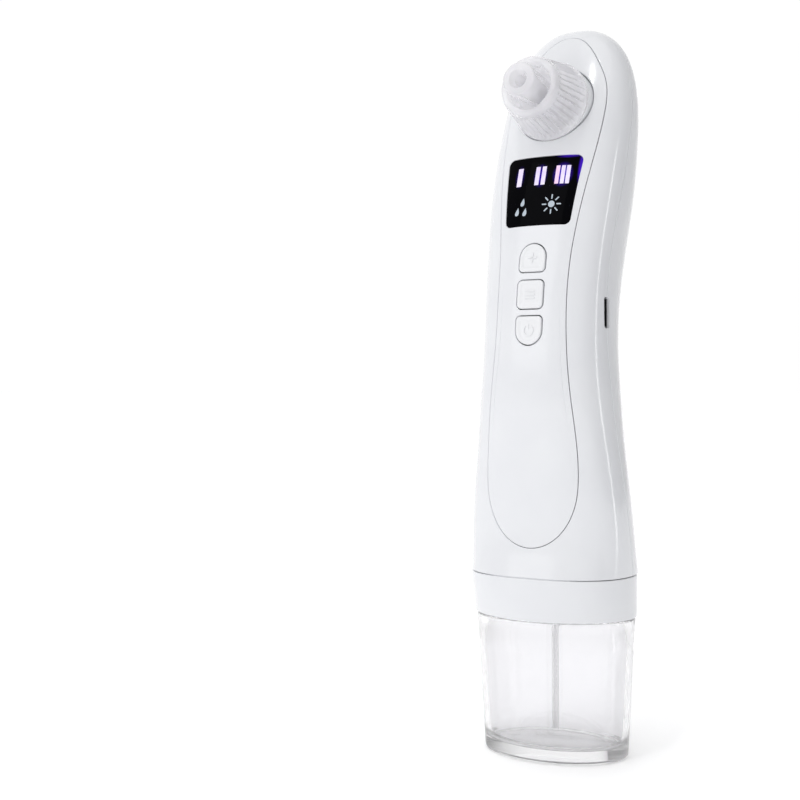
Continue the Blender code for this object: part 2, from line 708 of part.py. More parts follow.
def button(name):
    """A key whose cap follows the skin, on a narrower foot that meets its switch."""
    frame = face_frame(BUTTONS[name][0])
    outline = button_outline(name)
    rings = skin_cap(outline, frame, BUTTON_PROUD, (0.02, 0.6, 0.93))
    rings += skin_cap(outline, frame, BUTTON_PROUD - 0.25, (1.0,))
    foot = button_outline(name, -KEY_FOOT_INSET)
    for shape, depth in ((outline, KEY_LIP_DEPTH), (foot, KEY_LIP_DEPTH), (foot, KEY_FOOT_DEPTH)):
        rings.append([frame @ Vector((p.x, p.y, -depth)) for p in shape])
    ring_solid(name, rings, "white_plastic", origin=frame.translation)


def board_frame():
    """A frame on the board's front face: local Y up the board, local Z towards the display."""
    foot, head = Vector((0.0, *BOARD_FOOT)), Vector((0.0, *BOARD_HEAD))
    up = (head - foot).normalized()
    out = Vector((1.0, 0.0, 0.0)).cross(up)
    turn = Matrix((Vector((1.0, 0.0, 0.0)), up, out)).transposed().to_4x4()
    return Matrix.Translation(foot) @ turn


def main_board():
    length = (Vector(BOARD_HEAD) - Vector(BOARD_FOOT)).length
    w = BOARD_HALF_WIDTH
    outline = rounded_outline(((-w, 0.0), (w, 0.0), (w, length), (-w, length)), (1.5,) * 4, 0.0, 3)
    ring_solid("main_board", prism_rings(outline, board_frame(), -BOARD_THICK, 0.0), "board_green")


def tact_switches():
    """One small switch on the board behind each key, its stem short of the key by the travel."""
    board = board_frame()
    out = board.to_3x3() @ Vector((0.0, 0.0, 1.0))
    for name, (z, _, _) in BUTTONS.items():
        key = face_frame(z)
        foot = key @ Vector((0.0, 0.0, -KEY_FOOT_DEPTH - BUTTON_TRAVEL - GAP))
        local = board.inverted() @ foot
        stem = local.z
        bm = bmesh.new()
        rings = []
        for half, height in ((2.6, GAP), (2.6, 1.5), (1.3, 1.5), (1.3, stem)):
            corners = ((-half, -half), (half, -half), (half, half), (-half, half))
            rings.append([board @ Vector((x, local.y + y, height)) for x, y in corners])
        bridge_rings(bm, rings)
        finish_object(name.replace("button", "switch"), bm, "black_plastic")


# ---- nozzle --------------------------------------------------------------------------------------
def nozzle_seat():
    """The white seat in the head: a drum that levels the sloping skin, and a spigot for the collar."""
    tail, drum = -SEAT_DEPTH - 5.0, NOZZLE_BORE_R - 0.35
    profile = ((SPIGOT_BORE_R, tail), (3.0, tail), (3.0, -SEAT_DEPTH), (drum, -SEAT_DEPTH), (drum, -GAP),
               (SPIGOT_R, -GAP), (SPIGOT_R, SPIGOT_LENGTH), (SPIGOT_BORE_R, SPIGOT_LENGTH))
    turned("nozzle_seat", profile, "white_plastic", NOZZLE_BASE, NOZZLE_AXIS, 32, bored=True)


def nozzle_seal():
    """The O-ring in the collar's root that the spigot pushes through."""
    inner, outer, middle = SPIGOT_R + 0.15, SPIGOT_R + 1.35, 1.3
    half = (outer - inner) / 2.0
    centre = (outer + inner) / 2.0
    sides = 6
    profile = [(centre + half * math.cos(2.0 * math.pi * k / sides),
                middle + half * math.sin(2.0 * math.pi * k / sides)) for k in range(sides)]
    turned("nozzle_seal", profile, "silicone", NOZZLE_BASE, NOZZLE_AXIS, 20, bored=True)


def probe_collar():
    """The clear ribbed collar: a cone with a socket behind, a web, and a recess round the tip."""
    rim = COLLAR_LENGTH
    socket = SPIGOT_R + GAP
    profile = ((COLLAR_ROOT_R, GAP), (COLLAR_BASE_R, GAP), (COLLAR_BASE_R, 1.1),
               (COLLAR_RIM_R + 0.55, rim - 1.6), (COLLAR_RIM_R, rim - 0.4),
               (COLLAR_RIM_R - 0.5, rim), (RECESS_MOUTH_R, rim),
               (RECESS_MOUTH_R - 0.3, rim - 0.5), (RECESS_FLOOR_R, WEB_FRONT), (WEB_HOLE_R, WEB_FRONT),
               (WEB_HOLE_R, WEB_BACK), (socket, WEB_BACK), (socket, COLLAR_ROOT_DEPTH),
               (COLLAR_ROOT_R, COLLAR_ROOT_DEPTH))
    turned("probe_collar", profile, "clear_plastic", NOZZLE_BASE, NOZZLE_AXIS, 32, bored=True)


def probe_tip():
    """The clear suction tip: a tube with a rounded face and a plug that presses into the web."""
    shoulder = WEB_FRONT + GAP
    plug = WEB_HOLE_R - GAP
    back = WEB_BACK + GAP
    profile = ((TIP_BORE_R, back), (plug, back), (plug, shoulder), (TIP_R - 0.5, shoulder),
               (TIP_R, TIP_END - 1.0), (TIP_R - 0.25, TIP_END - 0.25), (TIP_R - 0.6, TIP_END),
               (TIP_FACE_R, TIP_END), (TIP_FACE_R - 0.3, TIP_END - 0.5), (TIP_BORE_R, TIP_END - 1.2))
    turned("probe_tip", profile, "clear_plastic", NOZZLE_BASE, NOZZLE_AXIS, 24, bored=True)


def tip_filter():
    """A small foam disc in the spigot's mouth."""
    profile = ((SPIGOT_BORE_R - 0.15, 0.5), (SPIGOT_BORE_R - 0.15, 2.5))
    turned("tip_filter", profile, "foam", NOZZLE_BASE, NOZZLE_AXIS, 24)


# ---- cup, ring and plate -------------------------------------------------------------------------
def cup_half(z, shrink=0.0):
    """Half width and half depth of the cup's outside at height z."""
    share = z / CUP_HEIGHT
    return tuple(low + (high - low) * share - shrink for low, high in zip(CUP_BASE_HALF, CUP_TOP_HALF))


def tank_cup():
    """The clear cup: rounded foot, thick floor, a shoulder under the ring and a neck inside it."""
    rings = []
    outside = ((0.0, 0.9), (0.25, 0.3), (0.9, 0.0), (12.0, 0.0), (25.0, 0.0), (CUP_HEIGHT - 0.3, 0.0),
               (CUP_HEIGHT, 0.3))
    for z, shrink in outside:
        rings.append(superellipse_ring(cup_half(z, shrink), z, segments=CUP_SEGMENTS))
    neck = [half - CUP_WALL * 0.5 - 1.1 for half in CUP_TOP_HALF]
    inside = [half - 1.3 for half in neck]
    for half, z in ((neck, CUP_HEIGHT), (neck, CUP_NECK_TOP), (inside, CUP_NECK_TOP)):
        rings.append(superellipse_ring(half, z, segments=CUP_SEGMENTS))
    bowl = ((CUP_HEIGHT - 3.0, CUP_WALL + 1.0), (25.0, CUP_WALL), (CUP_FLOOR + 2.0, CUP_WALL),
            (CUP_FLOOR + 0.6, CUP_WALL + 0.7), (CUP_FLOOR, CUP_WALL + 2.2))
    for z, shrink in bowl:
        rings.append(superellipse_ring(cup_half(z, shrink), z, segments=CUP_SEGMENTS))
    ring_solid("tank_cup", rings, "clear_plastic")


def base_ring():
    """The white ring between the body and the cup."""
    inner = [half - RING_WALL for half in RING_HALF]
    rings = [superellipse_ring([h - 0.25 for h in RING_HALF], RING_BOTTOM, segments=CUP_SEGMENTS),
             superellipse_ring(RING_HALF, RING_BOTTOM + 0.3, segments=CUP_SEGMENTS),
             superellipse_ring(RING_HALF, RING_TOP - 0.3, segments=CUP_SEGMENTS),
             superellipse_ring([h - 0.25 for h in RING_HALF], RING_TOP, segments=CUP_SEGMENTS),
             superellipse_ring(inner, RING_TOP, segments=CUP_SEGMENTS),
             superellipse_ring(inner, RING_BOTTOM, segments=CUP_SEGMENTS)]
    ring_solid("base_ring", rings, "white_plastic", closed_loop=True)


def upright_rod(name, radius, spot, low, high, segments=16):
    """A round rod along Z, kept only to cut or to join."""
    profile = ((radius, 0.0), (radius, high - low))
    return cutter(name, turned_rings(profile, (*spot, low), (0, 0, 1), segments))


def port_plate():
    """The plate over the cup's mouth: a dip tube socket, a channel to the feed barb, waste port and vent."""
    half = [h - RING_WALL - GAP for h in RING_HALF]
    rings = [superellipse_ring(half, z, segments=CUP_SEGMENTS) for z in (PLATE_BOTTOM, PLATE_TOP)]
    plate = ring_solid("port_plate", rings, "inner_plastic")
    middle = (PLATE_BOTTOM + PLATE_TOP) / 2.0
    root, under, over = PLATE_TOP - 0.8, PLATE_BOTTOM - 3.0, PLATE_TOP + 2.0
    apply_boolean(plate, upright_rod("barb_feed", BARB_R, FEED_PORT, root, FEED_BARB_TOP), "UNION")
    apply_boolean(plate, upright_rod("barb_waste", BARB_R, WASTE_PORT, root, WASTE_BARB_TOP), "UNION")
    apply_boolean(plate, upright_rod("bore_feed", BARB_BORE_R, FEED_PORT, middle, FEED_BARB_TOP + 2.0))
    apply_boolean(plate, upright_rod("bore_waste", BARB_BORE_R, WASTE_PORT, under, PUMP_LOW))
    apply_boolean(plate, upright_rod("bore_vent", BARB_BORE_R, VENT_PORT, under, over))
    socket_r = DIP_TUBE_R + GAP
    apply_boolean(plate, upright_rod("dip_socket", socket_r, (0.0, 0.0), under, DIP_TOP + GAP, 20))
    reach = math.hypot(*FEED_PORT)
    channel = turned_rings(((0.5, 0.4), (0.5, reach)), (0.0, 0.0, middle), (*FEED_PORT, 0.0), 12)
    apply_boolean(plate, cutter("feed_channel", channel))


def tank_seal():
    """The flat gasket between the cup's neck and the plate."""
    neck = [half - CUP_WALL * 0.5 - 1.1 for half in CUP_TOP_HALF]
    inner = [half - 2.2 for half in neck]
    low, high = CUP_NECK_TOP + GAP, PLATE_BOTTOM - GAP
    rings = [superellipse_ring(half, z, segments=CUP_SEGMENTS)
             for half, z in ((neck, low), (neck, high), (inner, high), (inner, low))]
    ring_solid("tank_seal", rings, "silicone", closed_loop=True)


def dip_tube():
    """The draw-up tube that hangs from the plate almost to the cup's floor."""
    length = DIP_TOP - DIP_LOW
    profile = ((DIP_TUBE_R, 0.0), (DIP_TUBE_R, length), (DIP_BORE_R, length), (DIP_BORE_R, 0.0))
    turned("dip_tube", profile, "clear_plastic", (0.0, 0.0, DIP_LOW), (0, 0, 1), 20, bored=True)


def air_filter():
    """A foam disc under the vent that keeps spray inside the cup."""
    turned("air_filter", ((2.6, 0.0), (2.6, 1.6)), "foam", (*VENT_PORT, PLATE_BOTTOM - 1.9), (0, 0, 1), 20)


# ---- pump, motor, battery ------------------------------------------------------------------------
def pump():
    """Pump block with a crank chamber and a cross bore, and a lid towards the motor."""
    x, y = PUMP_CENTRE
    block = turned("pump_body", ((PUMP_R, PUMP_LOW), (PUMP_R, PUMP_HIGH - 1.8), (CHAMBER_R, PUMP_HIGH - 1.8),
                                 (CHAMBER_R, CHAMBER_LOW)), "inner_plastic", (x, y, 0.0), (0, 0, 1), 24)
    bore = cutter("cut_pump_bore", turned_rings(((PISTON_BORE_R, 0.0), (PISTON_BORE_R, 12.0)),
                                                (x, y, YOKE_Z), (1, 0, 0), 20))
    apply_boolean(block, bore)
    low = PUMP_LOW - 2.2
    apply_boolean(block, upright_rod("barb_outlet", BARB_R, WASTE_PORT, low, PUMP_LOW + 1.0), "UNION")
    apply_boolean(block, upright_rod("bore_outlet", BARB_BORE_R, WASTE_PORT, low - 0.8, CHAMBER_LOW + 1.0))
    lid = turned("pump_lid", ((2.6, 0.0), (PUMP_R, 0.0), (PUMP_R, 1.4), (2.6, 1.4)), "inner_plastic",
                 (x, y, PUMP_HIGH - 1.5), (0, 0, 1), 24, bored=True)
    apply_boolean(lid, upright_rod("barb_inlet", 0.9, INLET_BARB, PUMP_HIGH - 1.0, INLET_BARB_TOP), "UNION")
    apply_boolean(lid, upright_rod("bore_inlet", 0.5, INLET_BARB, PUMP_HIGH - 4.0, INLET_BARB_TOP + 1.0))
    low, high = PLATE_TOP + GAP, PUMP_LOW - GAP
    inner, outer = BARB_R + GAP, BARB_R + 1.2
    sleeve = ((inner, 0.0), (outer, 0.0), (outer, high - low), (inner, high - low))
    turned("return_sleeve", sleeve, "silicone", (*WASTE_PORT, low), (0, 0, 1), 20, bored=True)


def pump_yoke():
    """The slotted yoke that the crank pin works, with the piston rod towards +X."""
    x, y = PUMP_CENTRE
    half = YOKE_SLOT_HALF + 1.1
    bm = bmesh.new()
    outer = ((-half, -half), (half, -half), (half, half), (-half, half))
    slot = [(a * YOKE_SLOT_HALF / half, b * YOKE_SLOT_HALF / half) for a, b in outer]
    low, high = YOKE_Z - 0.9, YOKE_Z + 0.9
    rings = [[Vector((x + a, y + b, z)) for a, b in shape]
             for shape, z in ((outer, low), (outer, high), (slot, high), (slot, low))]
    bridge_rings(bm, rings, closed_loop=True)
    yoke = finish_object("pump_yoke", bm, "black_plastic", (x, y, YOKE_Z))
    rod_profile = ((0.7, half - 0.5), (0.7, PISTON_AT + 0.8))
    rod = cutter("yoke_rod", turned_rings(rod_profile, (x, y, YOKE_Z), (1, 0, 0), 16))
    apply_boolean(yoke, rod, "UNION")
    turned("pump_piston", ((1.0, 0.0), (PISTON_BORE_R - GAP, 0.0), (PISTON_BORE_R - GAP, 1.6), (1.0, 1.6)),
           "silicone", (x + PISTON_AT - 0.8, y, YOKE_Z), (1, 0, 0), 20, bored=True)


def motor():
    """Motor can with an open shaft end, and the rotor with its shaft through it."""
    x, y = PUMP_CENTRE
    wall = 0.6
    turned("motor_can", ((1.5, MOTOR_LOW), (MOTOR_R, MOTOR_LOW), (MOTOR_R, MOTOR_HIGH), (1.5, MOTOR_HIGH),
                         (1.5, MOTOR_HIGH - wall), (MOTOR_R - wall, MOTOR_HIGH - wall),
                         (MOTOR_R - wall, MOTOR_LOW + wall), (1.5, MOTOR_LOW + wall)),
           "bright_steel", (x, y, 0.0), (0, 0, 1), 20, bored=True)
    core = MOTOR_R - wall - 0.8
    turned("motor_rotor", ((0.9, CRANK_Z), (0.9, MOTOR_LOW + 2.0), (core, MOTOR_LOW + 2.0),
                           (core, MOTOR_HIGH - 3.0), (0.9, MOTOR_HIGH - 3.0), (0.9, MOTOR_HIGH + 0.6)),
           "copper", (x, y, 0.0), (0, 0, 1), 16)
    disc_low, disc_high = CRANK_Z - 0.4, CRANK_Z + 1.6
    disc = turned("crank_disc", ((2.3, 0.0), (2.3, disc_high - disc_low)), "bright_steel",
                  (x, y, disc_low), (0, 0, 1), 24)
    pin = cutter("crank_pin", turned_rings(((CRANK_PIN_R, 0.0), (CRANK_PIN_R, 3.6)),
                                           (x + CRANK_OFFSET, y, disc_low - 3.0), (0, 0, 1), 16))
    apply_boolean(disc, pin, "UNION")
    apply_boolean(disc, upright_rod("crank_bore", 1.2, (x, y), CRANK_Z - GAP, CRANK_Z + 2.7))


def battery():
    """Cell with its wrap, the cradle round its back half and a contact at each end."""
    length = BATTERY_HIGH - BATTERY_LOW
    turned("battery_cell", ((5.6, 0.0), (BATTERY_R, 0.8), (BATTERY_R, length - 0.8), (5.6, length)),
           "battery_wrap", (0.0, BATTERY_Y, BATTERY_LOW), (0, 0, 1), 24)
    bm = bmesh.new()
    inner, outer = BATTERY_R + GAP, BATTERY_R + 1.2
    steps = 20
    rings = []
    for z in (CRADLE_LOW, CRADLE_HIGH):
        ring = []
        for radius, order in ((outer, range(steps + 1)), (inner, range(steps, -1, -1))):
            for k in order:
                angle = math.radians(10.0) + math.radians(160.0) * k / steps
                ring.append(Vector((radius * math.cos(angle), BATTERY_Y + radius * math.sin(angle), z)))
        rings.append(ring)
    bridge_rings(bm, rings)
    finish_object("battery_cradle", bm, "inner_plastic")
    for name, low, high in (("battery_contact_low", BATTERY_LOW - 1.4, BATTERY_LOW - GAP),
                            ("battery_contact_high", BATTERY_HIGH + GAP, BATTERY_HIGH + 1.4)):
        turned(name, ((3.2, 0.0), (4.4, high - low)), "bright_steel", (0.0, BATTERY_Y, low), (0, 0, 1), 20)


def motor_bracket():
    """A clamp ring round the motor with ears that the shells trap."""
    x, y = PUMP_CENTRE
    inner, outer = MOTOR_R + GAP, MOTOR_R + 1.8
    profile = ((inner, 0.0), (outer, 0.0), (outer, BRACKET_HEIGHT), (inner, BRACKET_HEIGHT))
    ring = turned("motor_bracket", profile, "inner_plastic", (x, y, BRACKET_LOW), (0, 0, 1), 20, bored=True)
    low, high = BRACKET_LOW + 0.4, BRACKET_LOW + BRACKET_HEIGHT - 0.4
    near, far = MOTOR_R + 1.0, BRACKET_REACH
    right = box("ear_right", (near, y - 2.0, low), (far, y + 2.0, high), "inner_plastic")
    left = box("ear_left", (-far, y - 2.0, low), (-near, y + 2.0, high), "inner_plastic")
    for ear in (right, left):
        apply_boolean(ring, as_cutter(ear), "UNION")


# ---- charging port -------------------------------------------------------------------------------
def charging_port():
    """Micro-USB socket in the side seam, its tongue, and the small board that carries it."""
    side = BODY.half_width(BODY.place(PORT_Z))
    seam_y = BODY.widest(BODY.place(PORT_Z))
    mouth = side - 0.6
    half_z, half_y = PORT_SIZE[0] / 2.0, PORT_SIZE[1] / 2.0
    wall = 0.3
    depth = 5.4
    outline = ((-half_y, -half_z), (half_y, -half_z), (half_y, half_z), (-half_y, half_z))
    back = mouth - depth
    rings = []
    for x, shrink in ((back, 0.0), (mouth, 0.0), (mouth, wall), (back + 0.6, wall)):
        across, along = (half_y - shrink) / half_y, (half_z - shrink) / half_z
        rings.append([Vector((x, seam_y + a * across, PORT_Z + b * along)) for a, b in outline])
    ring_solid("usb_socket", rings, "bright_steel")
    box("usb_tongue", (back + 0.9, seam_y - 0.3, PORT_Z - 2.6), (mouth - 0.8, seam_y + 0.3, PORT_Z + 2.6),
        "black_plastic")
    box("usb_board", (back - 1.3, seam_y - 2.2, PORT_Z - 6.5), (back - GAP, seam_y + 4.5, PORT_Z + 6.5),
        "board_green")


# ---- hoses and leads -----------------------------------------------------------------------------
def hoses_and_leads():
    """The hoses and battery leads that the body holds from end to end."""
    for name, points, radius, look in HOSES:
        tube_curve(name, points, radius, look, 2 if radius > 1.0 else 1)


def build():
    clear_scene()
    housing_shells()
    shell_screws()
    display_window()
    display_module()
    for name in BUTTONS:
        button(name)
    main_board()
    tact_switches()
    nozzle_seat()
    nozzle_seal()
    probe_collar()
    probe_tip()
    tip_filter()
    tank_cup()
    base_ring()
    port_plate()
    tank_seal()
    dip_tube()
    air_filter()
    pump()
    pump_yoke()
    motor()
    motor_bracket()
    battery()
    charging_port()
    hoses_and_leads()


build()
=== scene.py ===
"""Looks of the blackhead vacuum extractor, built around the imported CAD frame.

Shapes are worked out in millimetres with the body's own section rule and turned into metres at the end.
"""
import json
import math

import bmesh
import bpy
import numpy as np
from mathutils import Matrix, Vector
from mathutils.geometry import delaunay_2d_cdt


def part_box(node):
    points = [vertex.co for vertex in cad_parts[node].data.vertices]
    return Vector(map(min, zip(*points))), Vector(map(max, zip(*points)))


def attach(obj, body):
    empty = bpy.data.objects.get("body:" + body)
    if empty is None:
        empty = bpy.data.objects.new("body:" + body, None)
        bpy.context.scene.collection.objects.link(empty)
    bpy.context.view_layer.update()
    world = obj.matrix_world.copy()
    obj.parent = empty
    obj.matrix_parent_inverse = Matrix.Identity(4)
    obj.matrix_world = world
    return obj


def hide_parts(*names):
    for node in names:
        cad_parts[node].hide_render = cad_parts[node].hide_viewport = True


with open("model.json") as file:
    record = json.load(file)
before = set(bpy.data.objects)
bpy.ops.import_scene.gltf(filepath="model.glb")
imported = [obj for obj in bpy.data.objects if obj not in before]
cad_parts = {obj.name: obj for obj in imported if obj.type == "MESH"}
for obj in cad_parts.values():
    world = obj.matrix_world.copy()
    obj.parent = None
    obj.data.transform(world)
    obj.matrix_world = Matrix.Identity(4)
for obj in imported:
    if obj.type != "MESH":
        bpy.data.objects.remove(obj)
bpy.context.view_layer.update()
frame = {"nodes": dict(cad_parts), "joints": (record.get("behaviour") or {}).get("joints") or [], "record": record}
MM = 0.001
JOINTS = {joint["name"]: joint for joint in frame["joints"]}
MOUNTS = {mount["name"]: mount for mount in frame["record"]["mounts"]}
MERGE_DISTANCE = 1e-7                # metres


def low_corner(node):
    return np.array(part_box(node)[0]) / MM


def high_corner(node):
    return np.array(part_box(node)[1]) / MM


# ---- the body's section rule, millimetres ----
# Stations up the body: height, half width, front y, back y, y where the body is widest.
STATIONS = (
    (49.6, 22.9, -17.5, 16.6, 0.4),
    (56.2, 22.8, -16.0, 14.6, -0.6),
    (69.9, 21.9, -15.6, 13.9, -2.0),
    (83.6, 20.2, -15.9, 15.2, -3.0),
    (97.3, 18.7, -16.7, 17.0, -3.6),
    (111.0, 17.6, -16.0, 18.8, -4.0),
    (124.7, 17.4, -14.6, 21.6, -3.6),
    (138.9, 17.9, -12.0, 26.0, -1.2),
    (153.0, 18.8, -8.6, 28.5, 3.2),
    (166.0, 19.0, -4.0, 28.9, 7.6),
    (175.0, 18.7, -0.4, 28.3, 10.6),
    (183.0, 17.6, 3.1, 27.2, 13.0),
    (190.0, 15.4, 6.5, 25.6, 15.0),
    (196.0, 11.4, 10.0, 23.2, 16.4),
    (199.4, 6.2, 13.2, 20.8, 16.9),
    (200.4, 0.0, 17.0, 17.0, 17.0),
)
FRONT_POWER, BACK_POWER = 2.5, 2.2
SHELL_WALL = 2.3
SHELL_BOTTOM = low_corner("front_shell")[2]
SPINE_TOP = 178.0                    # rays towards the crown start from this height
SEAM_HALF_GAP = 0.05
EDGE_R = 0.22                        # rounding of the moulded edges along the parting lines
PANEL_GAP = 0.15
PANEL_THICK = 1.0
PANEL_STEPS = 1400                   # points of the finest panel outline

# Front panel outline: height and half width, an hourglass closed at both ends.
PANEL_OUTLINE = (
    (60.3, 7.4), (64.9, 11.0), (71.0, 13.0), (78.0, 13.4), (92.8, 12.3), (108.0, 10.7),
    (124.0, 10.1), (136.0, 10.5), (148.0, 11.8), (162.0, 13.5), (174.0, 14.3), (182.0, 13.5),
    (189.0, 10.2), (194.0, 6.6),
)
PANEL_LOW, PANEL_HIGH = low_corner("front_panel")[2], high_corner("front_panel")[2]

DISPLAY_LOW, DISPLAY_HIGH = 143.6, 162.5
DISPLAY_MIDDLE = (DISPLAY_LOW + DISPLAY_HIGH) / 2.0
DISPLAY_HALF_LOW, DISPLAY_HALF_HIGH = 9.4, 11.1
DISPLAY_GAP, DISPLAY_THICK = 0.12, 0.9
BARS_LOW, BARS_HIGH = 154.5, 159.6
LEVEL_BARS = {                       # left and right edge of each lit bar
    "level_one": ((-7.4, -5.9),),
    "level_two": ((-1.86, -0.63), (0.0, 1.22)),
    "level_three": ((5.59, 6.69), (7.04, 8.14)),
}
ROSY_BAR_X, ROSY_BAR_WIDTH = 4.61, 1.1
DROPS = ((-4.65, 150.0), (-6.1, 147.5), (-3.74, 147.3))
SUN_X, SUN_Z = 3.96, 149.0
PRINT_LIFT, PRINT_SINK = 0.02, 0.1
# Lamp glow on the display: x, z, half width, half height, power.
GLOW_SPOTS = (
    (-6.65, 157.0, 1.7, 3.6, 0.3), (-0.3, 157.0, 2.3, 3.6, 0.75), (6.1, 157.0, 3.2, 3.8, 1.1),
    (10.9, 158.6, 1.0, 6.2, 1.2), (7.6, 162.3, 4.6, 0.9, 0.8),
)
KEY_SIZE = (7.5, 7.6)
KEYS = {                             # centre height, top corner radius, bottom corner radius
    "button_plus": (134.6, 3.8, 1.1),
    "button_mode": (124.8, 1.3, 1.3),
    "button_power": (115.2, 1.1, 3.8),
}
KEY_GAP, KEY_LIFT, KEY_THICK, KEY_EDGE_R = 0.28, 0.25, 3.0, 0.3
KEY_RIM, KEY_SLOPE, KEY_DISH = 0.75, 0.6, 0.16       # flat rim, run down to the middle, its depth
SYMBOL_STROKE, SYMBOL_LIFT = 0.36, 0.3

NOZZLE_AXIS = Vector(JOINTS["collar_pull"]["axis"])
NOZZLE_BASE = Vector((0.0, -0.9, 177.6))
NOZZLE_BORE_R = 11.08
COLLAR_LENGTH, COLLAR_BASE_R, COLLAR_RIM_R = 14.5, 11.0, 8.0
TIP_END, TIP_R, TIP_BORE_R, TIP_FACE_R = 20.4, 4.6, 1.55, 2.6
RIBS, RIB_DEPTH = 36, 0.6
LUGS, LUG_HALF_ANGLE = 4, 0.2

PORT_MOUNT_RISE = 3.6                # the mount's point lies this far above the slot's middle
PORT_Z = MOUNTS["charging_port"]["pos_m"][2] / MM - PORT_MOUNT_RISE
PORT_HALF_TALL, PORT_HALF_THICK, PORT_CLEARANCE, PORT_CORNER_R = 3.75, 1.25, 0.3, 0.75
# The slot's mouth: distance from the body's side, and widening.
PORT_MOUTH = ((-4.0, 1.0), (-0.55, 1.0), (-0.2, 1.04), (1.5, 1.3))

CUP_TOP_HALF, CUP_BASE_HALF, CUP_HEIGHT = np.array([22.5, 17.2]), np.array([20.5, 15.3]), 37.8
CUP_WALL, CUP_FLOOR, CUP_FLOOR_R = 1.8, 3.2, 2.6
CUP_RECESS, CUP_FOOT_R = 0.5, 0.9
NECK_INSET, NECK_WALL, NECK_TOP = 2.0, 1.3, 45.0
CUP_SEGMENTS = 160
RING_RISE, RING_WALL = 0.12, 1.5


# ---- curves and sections ----
def unit(vectors):
    return vectors / np.linalg.norm(vectors, axis=1, keepdims=True)


def lengths_along(points):
    """The distance along a polyline at each of its points."""
    return np.concatenate(([0.0], np.cumsum(np.linalg.norm(np.diff(points, axis=0), axis=1))))


def natural_spline(knots, values):
    """A smooth function through the points (natural cubic spline), for arrays."""
    t, v = np.asarray(knots, float), np.asarray(values, float)
    step = np.diff(t)
    count = len(t)
    matrix, right = np.eye(count), np.zeros(count)
    for i in range(1, count - 1):
        matrix[i, i - 1:i + 2] = step[i - 1], 2.0 * (step[i - 1] + step[i]), step[i]
        right[i] = 6.0 * ((v[i + 1] - v[i]) / step[i] - (v[i] - v[i - 1]) / step[i - 1])
    bend = np.linalg.solve(matrix, right)

    def value_at(x):
        i = np.clip(np.searchsorted(t, x) - 1, 0, count - 2)
        left = (t[i + 1] - x) / step[i]
        other = 1.0 - left
        cubic = (left ** 3 - left) * bend[i] + (other ** 3 - other) * bend[i + 1]
        return left * v[i] + other * v[i + 1] + cubic * step[i] ** 2 / 6.0

    return value_at


